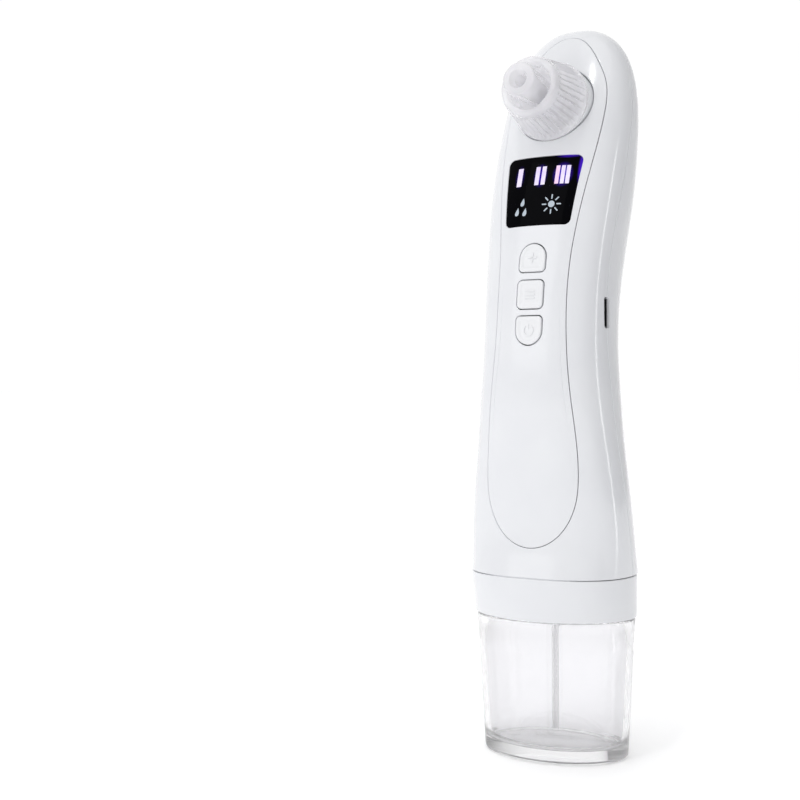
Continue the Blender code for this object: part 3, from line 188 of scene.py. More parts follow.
class BodyForm:
    """The outer skin of the body, worked out on numpy arrays."""

    RAY_REACH, HALVINGS = 60.0, 44   # how far a ray searches for the skin, and how finely

    def __init__(self, stations):
        table = np.array(stations)
        steps = np.hypot(np.diff(table[:, 0]), np.diff(table[:, 1]))
        knots = np.concatenate(([0.0], np.cumsum(steps)))
        self.end = knots[-1]
        columns = [natural_spline(knots, table[:, i]) for i in range(5)]
        self.height, self.half_width, self.front, self.back, self.widest = columns
        self.fine = np.linspace(0.0, self.end, 4000)
        self.fine_heights = np.maximum.accumulate(self.height(self.fine))
        self.top = self.fine_heights[-1]

    def place(self, z):
        return np.interp(z, self.fine_heights, self.fine)

    def row(self, p, angles):
        """Skin points of one section: angle 0 is +X, a quarter turn is the back."""
        widest, cos, sin = self.widest(p), np.cos(angles), np.sin(angles)
        power = np.where(sin >= 0.0, BACK_POWER, FRONT_POWER)
        reach = np.where(sin >= 0.0, self.back(p) - widest, widest - self.front(p))
        x = self.half_width(p) * np.sign(cos) * np.abs(cos) ** (2.0 / power)
        y = widest + reach * np.sign(sin) * np.abs(sin) ** (2.0 / power)
        return np.stack([x, y, np.full_like(x, self.height(p))], -1)

    def front_y(self, x, z):
        p = self.place(z)
        widest = self.widest(p)
        share = np.minimum(np.abs(x) / np.maximum(self.half_width(p), 0.001), 1.0)
        return widest - (widest - self.front(p)) * (1.0 - share ** FRONT_POWER) ** (1.0 / FRONT_POWER)

    def front_slope(self, z):
        """Tilt of the front centre line from the vertical, in radians."""
        return math.atan2(float(self.front_y(0.0, z + 1.0) - self.front_y(0.0, z - 1.0)), 2.0)

    def inside(self, points):
        p = self.place(points[:, 2])
        widest, half = self.widest(p), np.maximum(self.half_width(p), 1e-6)
        behind = points[:, 1] >= widest
        reach = np.maximum(np.where(behind, self.back(p) - widest, widest - self.front(p)), 1e-6)
        power = np.where(behind, BACK_POWER, FRONT_POWER)
        share = (np.abs(points[:, 0]) / half) ** power + (np.abs(points[:, 1] - widest) / reach) ** power
        return (share < 1.0) & (points[:, 2] < self.top)

    def spine(self, points):
        """Where on the body's spine the rays to these points start."""
        root_z = np.minimum(points[:, 2], SPINE_TOP)
        return np.stack([np.zeros(len(points)), self.widest(self.place(root_z)), root_z], -1)

    def project(self, points):
        """Moves points onto the skin along rays from the body's spine."""
        root = self.spine(points)
        ray = points - root
        near, far = np.zeros(len(points)), self.RAY_REACH / np.linalg.norm(ray, axis=1)
        for _ in range(self.HALVINGS):
            middle = (near + far) / 2.0
            within = self.inside(root + ray * middle[:, None])
            near, far = np.where(within, middle, near), np.where(within, far, middle)
        return root + ray * near[:, None]

    def normals(self, points):
        """Outward unit normals at skin points."""
        out = unit(points - self.spine(points))
        lean = np.array([0.0, 0.35, 1.0])            # roughly up, leaning back as the head's front does
        side = unit(np.cross(out, lean))
        up = np.cross(side, out)
        step = 0.05
        across = self.project(points + side * step) - self.project(points - side * step)
        upward = self.project(points + up * step) - self.project(points - up * step)
        normal = np.cross(across, upward)
        normal *= np.sign(np.sum(normal * out, axis=1))[:, None]
        return unit(normal)

    def seam_point(self, p, height):
        """Where the parting line runs on the right side."""
        return [float(self.half_width(p)), float(self.widest(p)), height]

    def front_point(self, xz):
        return np.stack([xz[:, 0], self.front_y(xz[:, 0], xz[:, 1]), xz[:, 1]], -1)

    def front_normal(self, xz):
        x, z, step = xz[:, 0], xz[:, 1], 0.02
        slope_x = (self.front_y(x + step, z) - self.front_y(x - step, z)) / (2.0 * step)
        slope_z = (self.front_y(x, z + step) - self.front_y(x, z - step)) / (2.0 * step)
        return unit(np.stack([slope_x, -np.ones_like(x), slope_z], -1))


BODY = BodyForm(STATIONS)


def face_frame(z):
    """A frame on the front centre line: local X is +X, local Y up the skin, local Z outwards."""
    tilt = BODY.front_slope(z)
    up = Vector((0.0, math.sin(tilt), math.cos(tilt)))
    out = Vector((0.0, -math.cos(tilt), math.sin(tilt)))
    turn = Matrix((Vector((1.0, 0.0, 0.0)), up, out)).transposed().to_4x4()
    return Matrix.Translation((0.0, float(BODY.front_y(0.0, z)), z)) @ turn


def on_skin(local, uv):
    """(x, z) where flat points of a local frame land on the skin, straight along the frame's Z."""
    out = np.array(local.to_3x3() @ Vector((0.0, 0.0, 1.0)))
    spots = np.array([local @ Vector((u, v, 0.0)) for u, v in uv])
    for _ in range(8):
        spots += out * ((spots[:, 1] - BODY.front_y(spots[:, 0], spots[:, 2])) / -out[1])[:, None]
    return spots[:, [0, 2]]


def even_loop(points, count):
    """A closed polyline with count points at even spacing."""
    closed = np.vstack([points, points[:1]])
    along = lengths_along(closed)
    wanted = np.linspace(0.0, along[-1], count, endpoint=False)
    return np.stack([np.interp(wanted, along, closed[:, i]) for i in range(closed.shape[1])], -1)


def rounded_outline(corners, radii, grow=0.0, spacing=0.35):
    """A convex polygon with rounded corners, counter-clockwise, at even spacing."""
    steps = 16
    points = []
    for i, corner in enumerate(corners):
        here = Vector(corner)
        back = (Vector(corners[i - 1]) - here).normalized()
        ahead = (Vector(corners[(i + 1) % len(corners)]) - here).normalized()
        half = back.angle(ahead) / 2.0
        centre = here + (back + ahead).normalized() * radii[i] / math.sin(half)
        start = Vector((back.y, -back.x))
        if start.dot(ahead) > 0.0:
            start = -start
        for k in range(steps + 1):
            turn = Matrix.Rotation((math.pi - 2.0 * half) * k / steps, 2)
            points.append(centre + (turn @ start) * (radii[i] + grow))
    points = np.array(points)
    length = np.linalg.norm(np.diff(np.vstack([points, points[:1]]), axis=0), axis=1).sum()
    return even_loop(points, int(length / spacing))


# ---- mesh building ----
def closed_object(name, points, faces):
    """An object from millimetre points, with doubles merged and its faces turned outwards."""
    mesh = bpy.data.meshes.new(name)
    mesh.from_pydata((np.asarray(points, float) * MM).tolist(), [], faces)
    mesh.validate()
    bm = bmesh.new()
    bm.from_mesh(mesh)
    bmesh.ops.remove_doubles(bm, verts=bm.verts, dist=MERGE_DISTANCE)
    bmesh.ops.recalc_face_normals(bm, faces=bm.faces)
    bm.to_mesh(mesh)
    bm.free()
    made = bpy.data.objects.new(name, mesh)
    bpy.context.scene.collection.objects.link(made)
    return made


def make_piece(name, points, faces, material, body, slot, replaces=(), sharp=35.0):
    """A piece from millimetre points, riding on a body and standing for CAD nodes."""
    piece = closed_object(name, points, faces)
    piece.data.shade_smooth()
    piece.data.set_sharp_from_angle(angle=math.radians(sharp))
    piece.data.materials.append(material)
    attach(piece, body)
    if replaces:
        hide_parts(*replaces)
    return piece


def make_casing(name, points, faces, node):
    """A white moulded piece of the casing, standing for one CAD node."""
    return make_piece(name, points, faces, MATERIALS["white_plastic"], "housing", "white_plastic", (node,))


def ring_faces(rows, count, closed):
    """Faces on rings of count points: the rings close into a loop, or both ends are capped."""
    faces = []
    for a in range(rows if closed else rows - 1):
        b = (a + 1) % rows
        for k in range(count):
            nxt = (k + 1) % count
            faces.append((a * count + k, a * count + nxt, b * count + nxt, b * count + k))
    if not closed:
        faces.append(tuple(range(count)))
        faces.append(tuple(range((rows - 1) * count, rows * count)))
    return faces


def ring_piece(name, rings, material, body, slot, replaces=(), closed=True, sharp=35.0):
    """A solid from rings of points: a closed loop of rings, or capped at both ends."""
    faces = ring_faces(len(rings), len(rings[0]), closed)
    return make_piece(name, np.vstack(rings), faces, material, body, slot, replaces, sharp)


def axis_frame(base, direction):
    turn = Vector((0.0, 0.0, 1.0)).rotation_difference(Vector(direction)).to_matrix().to_4x4()
    return Matrix.Translation(Vector(base)) @ turn


def turned_rings(profile, base, direction, segments, shape=None):
    """Rings of a turned shape. shape(radius, along, angles) may change the radius round the ring."""
    place = np.array(axis_frame(base, direction))
    angles = np.arange(segments) * 2.0 * math.pi / segments
    rings = []
    for radius, along in profile:
        r = np.full(segments, radius) if shape is None else shape(radius, along, angles)
        local = np.stack([r * np.cos(angles), r * np.sin(angles), np.full(segments, along)], -1)
        rings.append(local @ place[:3, :3].T + place[:3, 3])
    return rings


def rounded_profile(corners, steps=5):
    """A closed section of (radius, along, rounding) corners, each turned into a smooth curve."""
    out = []
    count = len(corners)
    for i, (x, y, r) in enumerate(corners):
        if r <= 0.0:
            out.append((x, y))
            continue
        here = Vector((x, y))
        back = Vector(corners[i - 1][:2]) - here
        ahead = Vector(corners[(i + 1) % count][:2]) - here
        half = back.angle(ahead) / 2.0
        reach = min(r / math.tan(half), back.length * 0.49, ahead.length * 0.49)
        a, b = here + back.normalized() * reach, here + ahead.normalized() * reach
        for k in range(steps + 1):
            t = k / steps
            out.append(tuple(a * (1 - t) ** 2 + here * 2 * t * (1 - t) + b * t ** 2))
    return out


def loop_sides(loop, hole):
    """Skin points, normals and sideways directions into the material along a loop of (x, z)."""
    points, normals = BODY.front_point(loop), BODY.front_normal(loop)
    tangent = unit(np.roll(points, -1, axis=0) - np.roll(points, 1, axis=0))
    side = np.cross(normals, tangent)
    middle = loop.mean(axis=0)
    inwards = np.sum((middle - loop) * side[:, [0, 2]], axis=1).sum() > 0.0
    if inwards == hole:
        side = -side
    return points, normals, side


def inside_polygon(points, loop):
    """Which points lie inside a closed loop, by counting crossings."""
    x, y = points[:, 0][:, None], points[:, 1][:, None]
    x1, y1 = loop[:, 0][None], loop[:, 1][None]
    x2, y2 = np.roll(loop[:, 0], -1)[None], np.roll(loop[:, 1], -1)[None]
    straddle = (y1 > y) != (y2 > y)
    cross = x1 + (y - y1) * (x2 - x1) / np.where(np.abs(y2 - y1) < 1e-12, 1e-12, y2 - y1)
    return (straddle & (x < cross)).sum(axis=1) % 2 == 1


def filled_region(loops, spacing):
    """Triangles over the region inside loops[0] and outside the others, with even inner points."""
    low, high = loops[0].min(axis=0), loops[0].max(axis=0)
    rows = np.arange(low[1], high[1], spacing * 0.87)
    grid = np.array([(x + (i % 2) * spacing / 2.0, z) for i, z in enumerate(rows)
                     for x in np.arange(low[0], high[0], spacing)])
    keep = inside_polygon(grid, loops[0])
    for loop in loops[1:]:
        keep &= ~inside_polygon(grid, loop)
    border = np.vstack(loops)
    grid = grid[keep]
    gaps = np.min(np.linalg.norm(grid[:, None] - border[None], axis=2), axis=1)
    grid = grid[gaps > spacing * 0.55]
    points = np.vstack([border, grid])
    edges, start = [], 0
    for loop in loops:
        count = len(loop)
        edges += [(start + k, start + (k + 1) % count) for k in range(count)]
        start += count
    spots = [Vector(p) for p in points]
    made = delaunay_2d_cdt(spots, edges, [], 0, 1e-7, False)
    points = np.array([tuple(v) for v in made[0]])
    triangles = np.array(made[2])
    centres = points[triangles].mean(axis=1)
    keep = inside_polygon(centres, loops[0])
    for loop in loops[1:]:
        keep &= ~inside_polygon(centres, loop)
    return points, triangles[keep]


def skin_plate(outer, holes, lift, thick, edge_r, spacing, dome=None):
    """A closed plate that follows the front skin: face at lift above it, edges rounded by edge_r."""
    arc_steps = 6
    loops = [outer] + list(holes)
    sides = [loop_sides(loop, i > 0) for i, loop in enumerate(loops)]
    support = [loop + side[:, [0, 2]] * edge_r * 1.8 for loop, (_, _, side) in zip(loops, sides)]
    flat, triangles = filled_region(support, spacing)
    skin, normals = BODY.front_point(flat), BODY.front_normal(flat)
    rise = lift if dome is None else lift + dome(flat)
    face = skin + normals * np.reshape(rise, (-1, 1))
    back = skin + normals * (lift - thick)
    count = len(flat)
    points = [face, back]
    faces = [tuple(t) for t in triangles] + [tuple(count + t[::-1]) for t in triangles]
    start, base = 0, 2 * count
    for loop, (spots, normal, side) in zip(loops, sides):
        n = len(loop)
        rings = []
        begin = spots + side * edge_r
        begin_skin = BODY.front_point(begin[:, [0, 2]])
        extra = 0.0 if dome is None else dome(begin_skin[:, [0, 2]])[:, None]
        for k in range(arc_steps + 1):
            turn = math.radians(90.0 / arc_steps * k)
            rings.append(begin_skin + normal * (lift + extra - edge_r + edge_r * math.cos(turn))
                         - side * edge_r * math.sin(turn))
        rings.append(rings[-1] - normal * (thick - edge_r))
        points += rings
        border = list(range(start, start + n))
        ids = [border] + [list(range(base + i * n, base + (i + 1) * n)) for i in range(len(rings))]
        ids.append([count + k for k in border])
        for a, b in zip(ids, ids[1:]):
            faces += [(a[k], a[(k + 1) % n], b[(k + 1) % n], b[k]) for k in range(n)]
        start += n
        base += len(rings) * n
    return np.vstack(points), faces


# ---- materials ----
def set_inputs(node, **values):
    """Sets input sockets; an underscore in a name stands for a space."""
    for name, value in values.items():
        node.inputs[name.replace("_", " ")].default_value = value


def shader_of(name):
    material = bpy.data.materials.new(name)
    material.use_nodes = True
    return material, material.node_tree, material.node_tree.nodes["Principled BSDF"]


def noise(tree, scale, detail=3.0, stretch=(1.0, 1.0, 1.0)):
    """A noise field in object space; stretch draws it out along an axis."""
    place = tree.nodes.new("ShaderNodeTexCoord")
    mapping = tree.nodes.new("ShaderNodeMapping")
    set_inputs(mapping, Scale=stretch)
    field = tree.nodes.new("ShaderNodeTexNoise")
    set_inputs(field, Scale=scale, Detail=detail)
    tree.links.new(place.outputs["Object"], mapping.inputs["Vector"])
    tree.links.new(mapping.outputs["Vector"], field.inputs["Vector"])
    return field.outputs["Fac"]


def ranged(tree, value, low, high, source=(0.3, 0.7), curve="LINEAR"):
    """A value moved from the source range to low..high, and held there outside it."""
    node = tree.nodes.new("ShaderNodeMapRange")
    node.interpolation_type = curve
    set_inputs(node, From_Min=source[0], From_Max=source[1], To_Min=low, To_Max=high)
    tree.links.new(value, node.inputs["Value"])
    return node.outputs["Result"]


def blended(tree, factor, first, second):
    node = tree.nodes.new("ShaderNodeMix")
    node.data_type = "RGBA"
    node.inputs[6].default_value = (*first, 1.0)
    node.inputs[7].default_value = (*second, 1.0)
    tree.links.new(factor, node.inputs[0])
    return node.outputs[2]


def vector_math(tree, operation, source, fixed=(0.0, 0.0, 0.0)):
    """The outputs of a vector math node on a socket and a fixed vector."""
    node = tree.nodes.new("ShaderNodeVectorMath")
    node.operation = operation
    node.inputs[1].default_value = fixed
    tree.links.new(source, node.inputs[0])
    return node.outputs


def summed(tree, values):
    total = values[0]
    for value in values[1:]:
        add = tree.nodes.new("ShaderNodeMath")
        tree.links.new(total, add.inputs[0])
        tree.links.new(value, add.inputs[1])
        total = add.outputs["Value"]
    return total


def bumped(tree, shader, height, strength, distance):
    node = tree.nodes.new("ShaderNodeBump")
    set_inputs(node, Strength=strength, Distance=distance)
    tree.links.new(height, node.inputs["Height"])
    tree.links.new(node.outputs["Normal"], shader.inputs["Normal"])


def moulded(name, colour, other, rough, metallic=0.0, grain=700.0, grain_depth=0.00002, strength=0.1,
            cloud=60.0, stretch=(1.0, 1.0, 1.0), coat=0.0, transmission=0.0, ior=1.5, alpha=1.0):
    """A procedural finish: two close colours in clouds, uneven roughness and a fine grain."""
    material, tree, shader = shader_of(name)
    clouds = noise(tree, cloud, 3.0, stretch)
    fine = noise(tree, grain, 4.0, stretch)
    tree.links.new(blended(tree, ranged(tree, clouds, 0.0, 1.0), colour, other), shader.inputs["Base Color"])
    tree.links.new(ranged(tree, fine, rough[0], rough[1]), shader.inputs["Roughness"])
    bumped(tree, shader, fine, strength, grain_depth)
    set_inputs(shader, Metallic=metallic, Coat_Weight=coat, Coat_Roughness=0.06,
               Transmission_Weight=transmission, IOR=ior, Alpha=alpha)
    return material


MATERIALS = {
    "white_plastic": moulded("gloss_white_abs", (0.755, 0.765, 0.795), (0.785, 0.795, 0.82), (0.12, 0.19),
                             strength=0.05, coat=0.35),
    "key_plastic": moulded("key_white_abs", (0.79, 0.80, 0.82), (0.82, 0.825, 0.845), (0.28, 0.36),
                           grain=1500.0, strength=0.08),
    "clear_plastic": moulded("clear_cup", (0.903, 0.901, 0.914), (0.92, 0.918, 0.93), (0.0, 0.02),
                             grain=120.0, strength=0.02, cloud=40.0, transmission=1.0, ior=1.47, alpha=0.9),
    "nozzle_clear": moulded("clear_nozzle", (0.955, 0.945, 0.985), (0.985, 0.98, 0.995), (0.03, 0.07),
                            grain=300.0, strength=0.03, cloud=200.0, transmission=0.36, ior=1.46, alpha=0.5,
                            coat=0.5),
    "inner_plastic": moulded("matt_abs", (0.60, 0.61, 0.63), (0.68, 0.69, 0.71), (0.42, 0.58), strength=0.3),
    "board_green": moulded("solder_mask", (0.02, 0.16, 0.08), (0.04, 0.24, 0.12), (0.3, 0.5), grain=1800.0,
                           strength=0.2, coat=0.3),
    "black_plastic": moulded("black_nylon", (0.018, 0.018, 0.02), (0.04, 0.04, 0.045), (0.35, 0.5),
                             strength=0.3),
    "bright_steel": moulded("plated_steel", (0.62, 0.63, 0.65), (0.78, 0.79, 0.81), (0.2, 0.34), metallic=1.0,
                            grain=1200.0, strength=0.15, stretch=(1.0, 1.0, 0.15)),
    # The plug socket's steel is painted near-black: painted shade for the dark inside of the slot, not the metal's
    # own colour.
    "painted_shade_steel": moulded("steel_darkened_as_painted_shade", (0.05, 0.05, 0.055), (0.09, 0.09, 0.10), (0.3, 0.45),
                            metallic=1.0, strength=0.15),
    "copper": moulded("wound_copper", (0.62, 0.28, 0.14), (0.80, 0.45, 0.25), (0.25, 0.4), metallic=1.0,
                      grain=2200.0, strength=0.5, stretch=(1.0, 1.0, 0.2)),
    "tube_clear": moulded("milky_tube", (0.86, 0.86, 0.87), (0.92, 0.92, 0.93), (0.3, 0.4), grain=500.0,
                          strength=0.1, transmission=0.6, ior=1.45, alpha=0.35),
    "silicone": moulded("milky_silicone", (0.78, 0.78, 0.80), (0.86, 0.86, 0.88), (0.5, 0.66), strength=0.2,
                        transmission=0.25),
    "battery_wrap": moulded("blue_cell_wrap", (0.04, 0.14, 0.42), (0.07, 0.2, 0.52), (0.25, 0.38),
                            strength=0.15, coat=0.2),
    "foam": moulded("open_foam", (0.42, 0.43, 0.45), (0.66, 0.67, 0.69), (0.85, 1.0), grain=1400.0,
                    grain_depth=0.0002, strength=0.9, cloud=900.0),
    "red_lead": moulded("red_insulation", (0.5, 0.02, 0.02), (0.62, 0.04, 0.03), (0.35, 0.5), strength=0.2),
}


def lamp_material(name, colour, other, strength):
    """A lit printed symbol: slightly uneven, as a lamp behind a diffuser is."""
    material, tree, shader = shader_of(name)
    clouds = noise(tree, 500.0, 2.0)
    shade = blended(tree, ranged(tree, clouds, 0.0, 1.0), colour, other)
    dim = blended(tree, ranged(tree, clouds, 0.0, 1.0), [c * 0.3 for c in colour], [c * 0.3 for c in other])
    tree.links.new(dim, shader.inputs["Base Color"])
    tree.links.new(shade, shader.inputs["Emission Color"])
    set_inputs(shader, Emission_Strength=strength, Roughness=0.3)
    return material


# ---- body shells ----
def panel_loop(grow, count):
    """The hourglass outline on the skin, grown outwards, from the bottom centre and up the right."""
    middle, reach = (PANEL_LOW + PANEL_HIGH) / 2.0, (PANEL_HIGH - PANEL_LOW) / 2.0
    knots = [0.0] + [math.acos((middle - z) / reach) for z, _ in PANEL_OUTLINE] + [math.pi]
    widths = [0.0] + [half for _, half in PANEL_OUTLINE] + [0.0]
    width_at = natural_spline(knots, widths)
    theta = np.linspace(0.0, math.pi, 1500)
    width = width_at(theta)
    right = np.stack([width, middle - reach * np.cos(theta)], -1)
    loop = np.vstack([right, (right * (-1.0, 1.0))[-2:0:-1]])
    loop = even_loop(loop, PANEL_STEPS)
    if grow:
        _, _, side = loop_sides(loop, False)
        loop = loop - side[:, [0, 2]] * grow
    return even_loop(loop, count)


def edge_depth(radius, *distances):
    """How far a rounded edge falls below the skin, from the distances to the edges near it."""
    total = sum(np.clip(radius - d, 0.0, radius) ** 2 for d in distances)
    return radius - np.sqrt(np.clip(radius ** 2 - total, 0.0, None))


def closed_grid(outer, inner, wrap):
    """Points and faces of a solid between two equal grids; wrap closes the rows into loops."""
    rows, columns = outer.shape[:2]
    size = rows * columns
    faces = []
    for i in range(rows if wrap else rows - 1):
        nxt = (i + 1) % rows
        for j in range(columns - 1):
            quad = (i * columns + j, i * columns + j + 1, nxt * columns + j + 1, nxt * columns + j)
            faces.append(quad)
            faces.append(tuple(size + k for k in quad[::-1]))
        for j in (0, columns - 1):
            a, b = i * columns + j, nxt * columns + j
            faces.append((a, b, size + b, size + a))
    if not wrap:
        for i in (0, rows - 1):
            for j in range(columns - 1):
                a, b = i * columns + j, i * columns + j + 1
                faces.append((a, b, size + b, size + a))
    return np.vstack([outer.reshape(-1, 3), inner.reshape(-1, 3)]), faces


EDGE_STEPS = np.array([0.0, 0.015, 0.05, 0.1, 0.16, 0.22, 0.4])


def rear_shell():
    """The rear half of the body, with its edges rounded at the parting line and at the foot."""
    last = BODY.end
    row_p = np.concatenate((EDGE_STEPS, np.linspace(0.9, last - 2.0, 170),
                            last - np.array([1.6, 1.2, 0.8, 0.5, 0.25, 0.08])))
    rows = []
    for p in row_p:
        reach = float(BODY.back(p) - BODY.widest(p))
        near = np.minimum(EDGE_STEPS + SEAM_HALF_GAP, np.linspace(0.02, 0.3, len(EDGE_STEPS)) * reach)
        first = np.arcsin(np.clip(near / reach, 0.0, 1.0) ** (BACK_POWER / 2.0))
        middle = np.linspace(first[-1], math.pi - first[-1], 62)[1:-1]
        rows.append(BODY.row(p, np.concatenate((first, middle, math.pi - first[::-1]))))
    skin = np.array(rows)
    flat = skin.reshape(-1, 3)
    normal = BODY.normals(flat)
    seam = flat[:, 1] - BODY.widest(BODY.place(flat[:, 2])) - SEAM_HALF_GAP
    depth = edge_depth(EDGE_R, np.abs(seam), flat[:, 2] - SHELL_BOTTOM)
    outer = (flat - normal * depth[:, None]).reshape(skin.shape)
    inner = (flat - normal * SHELL_WALL).reshape(skin.shape)
    inner[:, 0, 1] = outer[:, 0, 1]
    inner[:, -1, 1] = outer[:, -1, 1]
    inner[0, :, 2] = SHELL_BOTTOM
    points, faces = closed_grid(outer, inner, False)
    return make_casing("rear_cover", points, faces, "rear_shell")


def front_shell():
    """The front half as a ring of lines from the panel's recess to the parting line."""
    low_z, high_z, foot_share = 68.0, 189.0, 0.62
    foot_lines, low_lines, side_lines, crown_lines = 43, 19, 149, 26
    loop = panel_loop(PANEL_GAP, PANEL_STEPS)
    half = loop[:len(loop) // 2 + 1]
    along = lengths_along(half)
    low_end = along[np.argmax(half[:, 1] > low_z)]
    high_end = along[np.argmax(half[:, 1] > high_z)]
    corner = low_end * foot_share
    # Each stretch of the recess is matched with a stretch of the outer edge: foot, low side, side, crown.
    recess = np.concatenate((np.linspace(0.0, corner, foot_lines + 1)[:-1],
                             np.linspace(corner, low_end, low_lines + 1)[:-1],
                             np.linspace(low_end, high_end, side_lines + 1)[:-1],
                             np.linspace(high_end, along[-1], crown_lines)))
    x = np.interp(recess, along, half[:, 0])
    z = np.interp(recess, along, half[:, 1])
    inner_edge = BODY.front_point(np.stack([x, z], -1))
    edge = []
    foot_row = BODY.row(0.0, np.linspace(1.5 * math.pi, 2.0 * math.pi, 400))
    foot_along = lengths_along(foot_row)
    for share in np.linspace(0.0, 1.0, foot_lines + 1)[:-1]:
        edge.append([np.interp(share * foot_along[-1], foot_along, foot_row[:, i]) for i in range(3)])
    side_start = foot_lines + low_lines
    side_recess = recess[side_start:side_start + side_lines]
    seam_z = list(np.linspace(SHELL_BOTTOM, low_z, low_lines + 1)[:-1])
    seam_z += list(np.interp(side_recess, along, half[:, 1]))
    for height in seam_z:
        edge.append(BODY.seam_point(BODY.place(height), height))
    high_p = BODY.place(seam_z[-1])
    for p in np.linspace(high_p, BODY.end, crown_lines + 1)[1:]:
        edge.append(BODY.seam_point(p, float(BODY.height(p))))
    outer_edge = np.array(edge)
    outer_edge[:, 1] = np.minimum(outer_edge[:, 1], BODY.widest(BODY.place(outer_edge[:, 2]))
                                  - SEAM_HALF_GAP)
    flip = np.array([-1.0, 1.0, 1.0])
    inner_edge = np.vstack([inner_edge, (inner_edge * flip)[-2:0:-1]])
    outer_edge = np.vstack([outer_edge, (outer_edge * flip)[-2:0:-1]])
    length = np.linalg.norm(outer_edge - inner_edge, axis=1)[:, None]
    near = EDGE_STEPS[None] / length
    middle = np.linspace(0.0, 1.0, 34)[None, 1:-1]
    spread = near[:, -1:] + (1.0 - 2.0 * near[:, -1:]) * middle
    share = np.concatenate((near, spread, 1.0 - near[:, ::-1]), axis=1)
    chord = inner_edge[:, None] + (outer_edge - inner_edge)[:, None] * share[:, :, None]
    shape = chord.shape
    flat = BODY.project(chord.reshape(-1, 3))
    normal = BODY.normals(flat)
    seam = BODY.widest(BODY.place(flat[:, 2])) - SEAM_HALF_GAP - flat[:, 1]
    to_recess = (share * length).reshape(-1)
    depth = edge_depth(EDGE_R, np.abs(seam), flat[:, 2] - SHELL_BOTTOM, to_recess)
    outer = (flat - normal * depth[:, None]).reshape(shape)
    inner = (flat - normal * SHELL_WALL).reshape(shape)
    inner[:, -1, 1] = outer[:, -1, 1]
    # The ledge that the panel lies on: down the recess wall, then inwards under the panel.
    floor_gap, ledge_width, ledge_thick = 0.3, 2.2, 1.0
    side = unit(chord[:, 1] - chord[:, 0])
    rim_normal = normal.reshape(shape)[:, 0]
    wall = inner_edge - rim_normal * (PANEL_THICK + floor_gap)
    ledge = wall - side * ledge_width
    under = ledge - rim_normal * ledge_thick
    outer = np.concatenate((ledge[:, None], wall[:, None], outer), axis=1)
    inner = np.concatenate((under[:, None], inner[:, :1], inner), axis=1)
    points, faces = closed_grid(outer, inner, True)
    return make_casing("front_cover", points, faces, "front_shell")


def cut_port(shells):
    """The slot for the charging plug, cut across the parting line of both shells."""
    place = BODY.place(PORT_Z)
    seam_y, side = float(BODY.widest(place)), float(BODY.half_width(place))
    tall, thick = PORT_HALF_TALL + PORT_CLEARANCE, PORT_HALF_THICK + PORT_CLEARANCE
    corners = ((-thick, -tall), (thick, -tall), (thick, tall), (-thick, tall))
    outline = rounded_outline(corners, (PORT_CORNER_R,) * 4, 0.0, 0.3)
    rings = []
    tall_share = 0.4                 # how much of the widening the slot's ends take
    for reach, grow in PORT_MOUTH:
        tall_grow = 1.0 + (grow - 1.0) * tall_share
        rings.append(np.array([(side + reach, seam_y + u * grow, PORT_Z + v * tall_grow)
                               for u, v in outline]))
    tool = closed_object("port_cutter", np.vstack(rings), ring_faces(len(rings), len(outline), False))
    for shell in shells:
        cut = shell.modifiers.new("port", "BOOLEAN")
        cut.operation, cut.solver, cut.object = "DIFFERENCE", "EXACT", tool
        bpy.context.view_layer.update()
        graph = bpy.context.evaluated_depsgraph_get()
        result = bpy.data.meshes.new_from_object(shell.evaluated_get(graph))
        shell.modifiers.clear()
        shell.data = result
    bpy.data.objects.remove(tool, do_unlink=True)


def display_outline(grow=0.0):
    local = face_frame(DISPLAY_MIDDLE)
    tall = (DISPLAY_HIGH - DISPLAY_LOW) / 2.0 / math.cos(BODY.front_slope(DISPLAY_MIDDLE))
    corners = ((-DISPLAY_HALF_LOW, -tall), (DISPLAY_HALF_LOW, -tall),
               (DISPLAY_HALF_HIGH, tall), (-DISPLAY_HALF_HIGH, tall))
    return on_skin(local, rounded_outline(corners, (1.6,) * 4, grow))


def key_outline(name, grow=0.0):
    height, top_r, low_r = KEYS[name]
    w, h = KEY_SIZE[0] / 2.0, KEY_SIZE[1] / 2.0
    outline = rounded_outline(((-w, -h), (w, -h), (w, h), (-w, h)), (low_r, low_r, top_r, top_r), grow)
    return on_skin(face_frame(height), outline)


def nozzle_hole():
    """Where the head's round opening cuts the front skin, as a loop of (x, z)."""
    across = Vector((1.0, 0.0, 0.0))
    up = across.cross(NOZZLE_AXIS)
    if up.z < 0.0:
        up = -up
    count = 190
    loop = []
    for k in range(count):
        turn = 2.0 * math.pi * k / count
        start = NOZZLE_BASE + (across * math.cos(turn) + up * math.sin(turn)) * NOZZLE_BORE_R
        low, high = -16.0, 10.0
        for _ in range(40):
            middle = (low + high) / 2.0
            spot = start + NOZZLE_AXIS * middle
            if spot.y > BODY.front_y(spot.x, spot.z):
                low = middle
            else:
                high = middle
        spot = start + NOZZLE_AXIS * low
        loop.append((spot.x, spot.z))
    return even_loop(np.array(loop), count)


def front_panel():
    holes = [display_outline(DISPLAY_GAP), nozzle_hole()] + [key_outline(name, KEY_GAP) for name in KEYS]
    points, faces = skin_plate(panel_loop(0.0, 900), holes, 0.0, PANEL_THICK, 0.2, 0.8)
    make_casing("panel", points, faces, "front_panel")


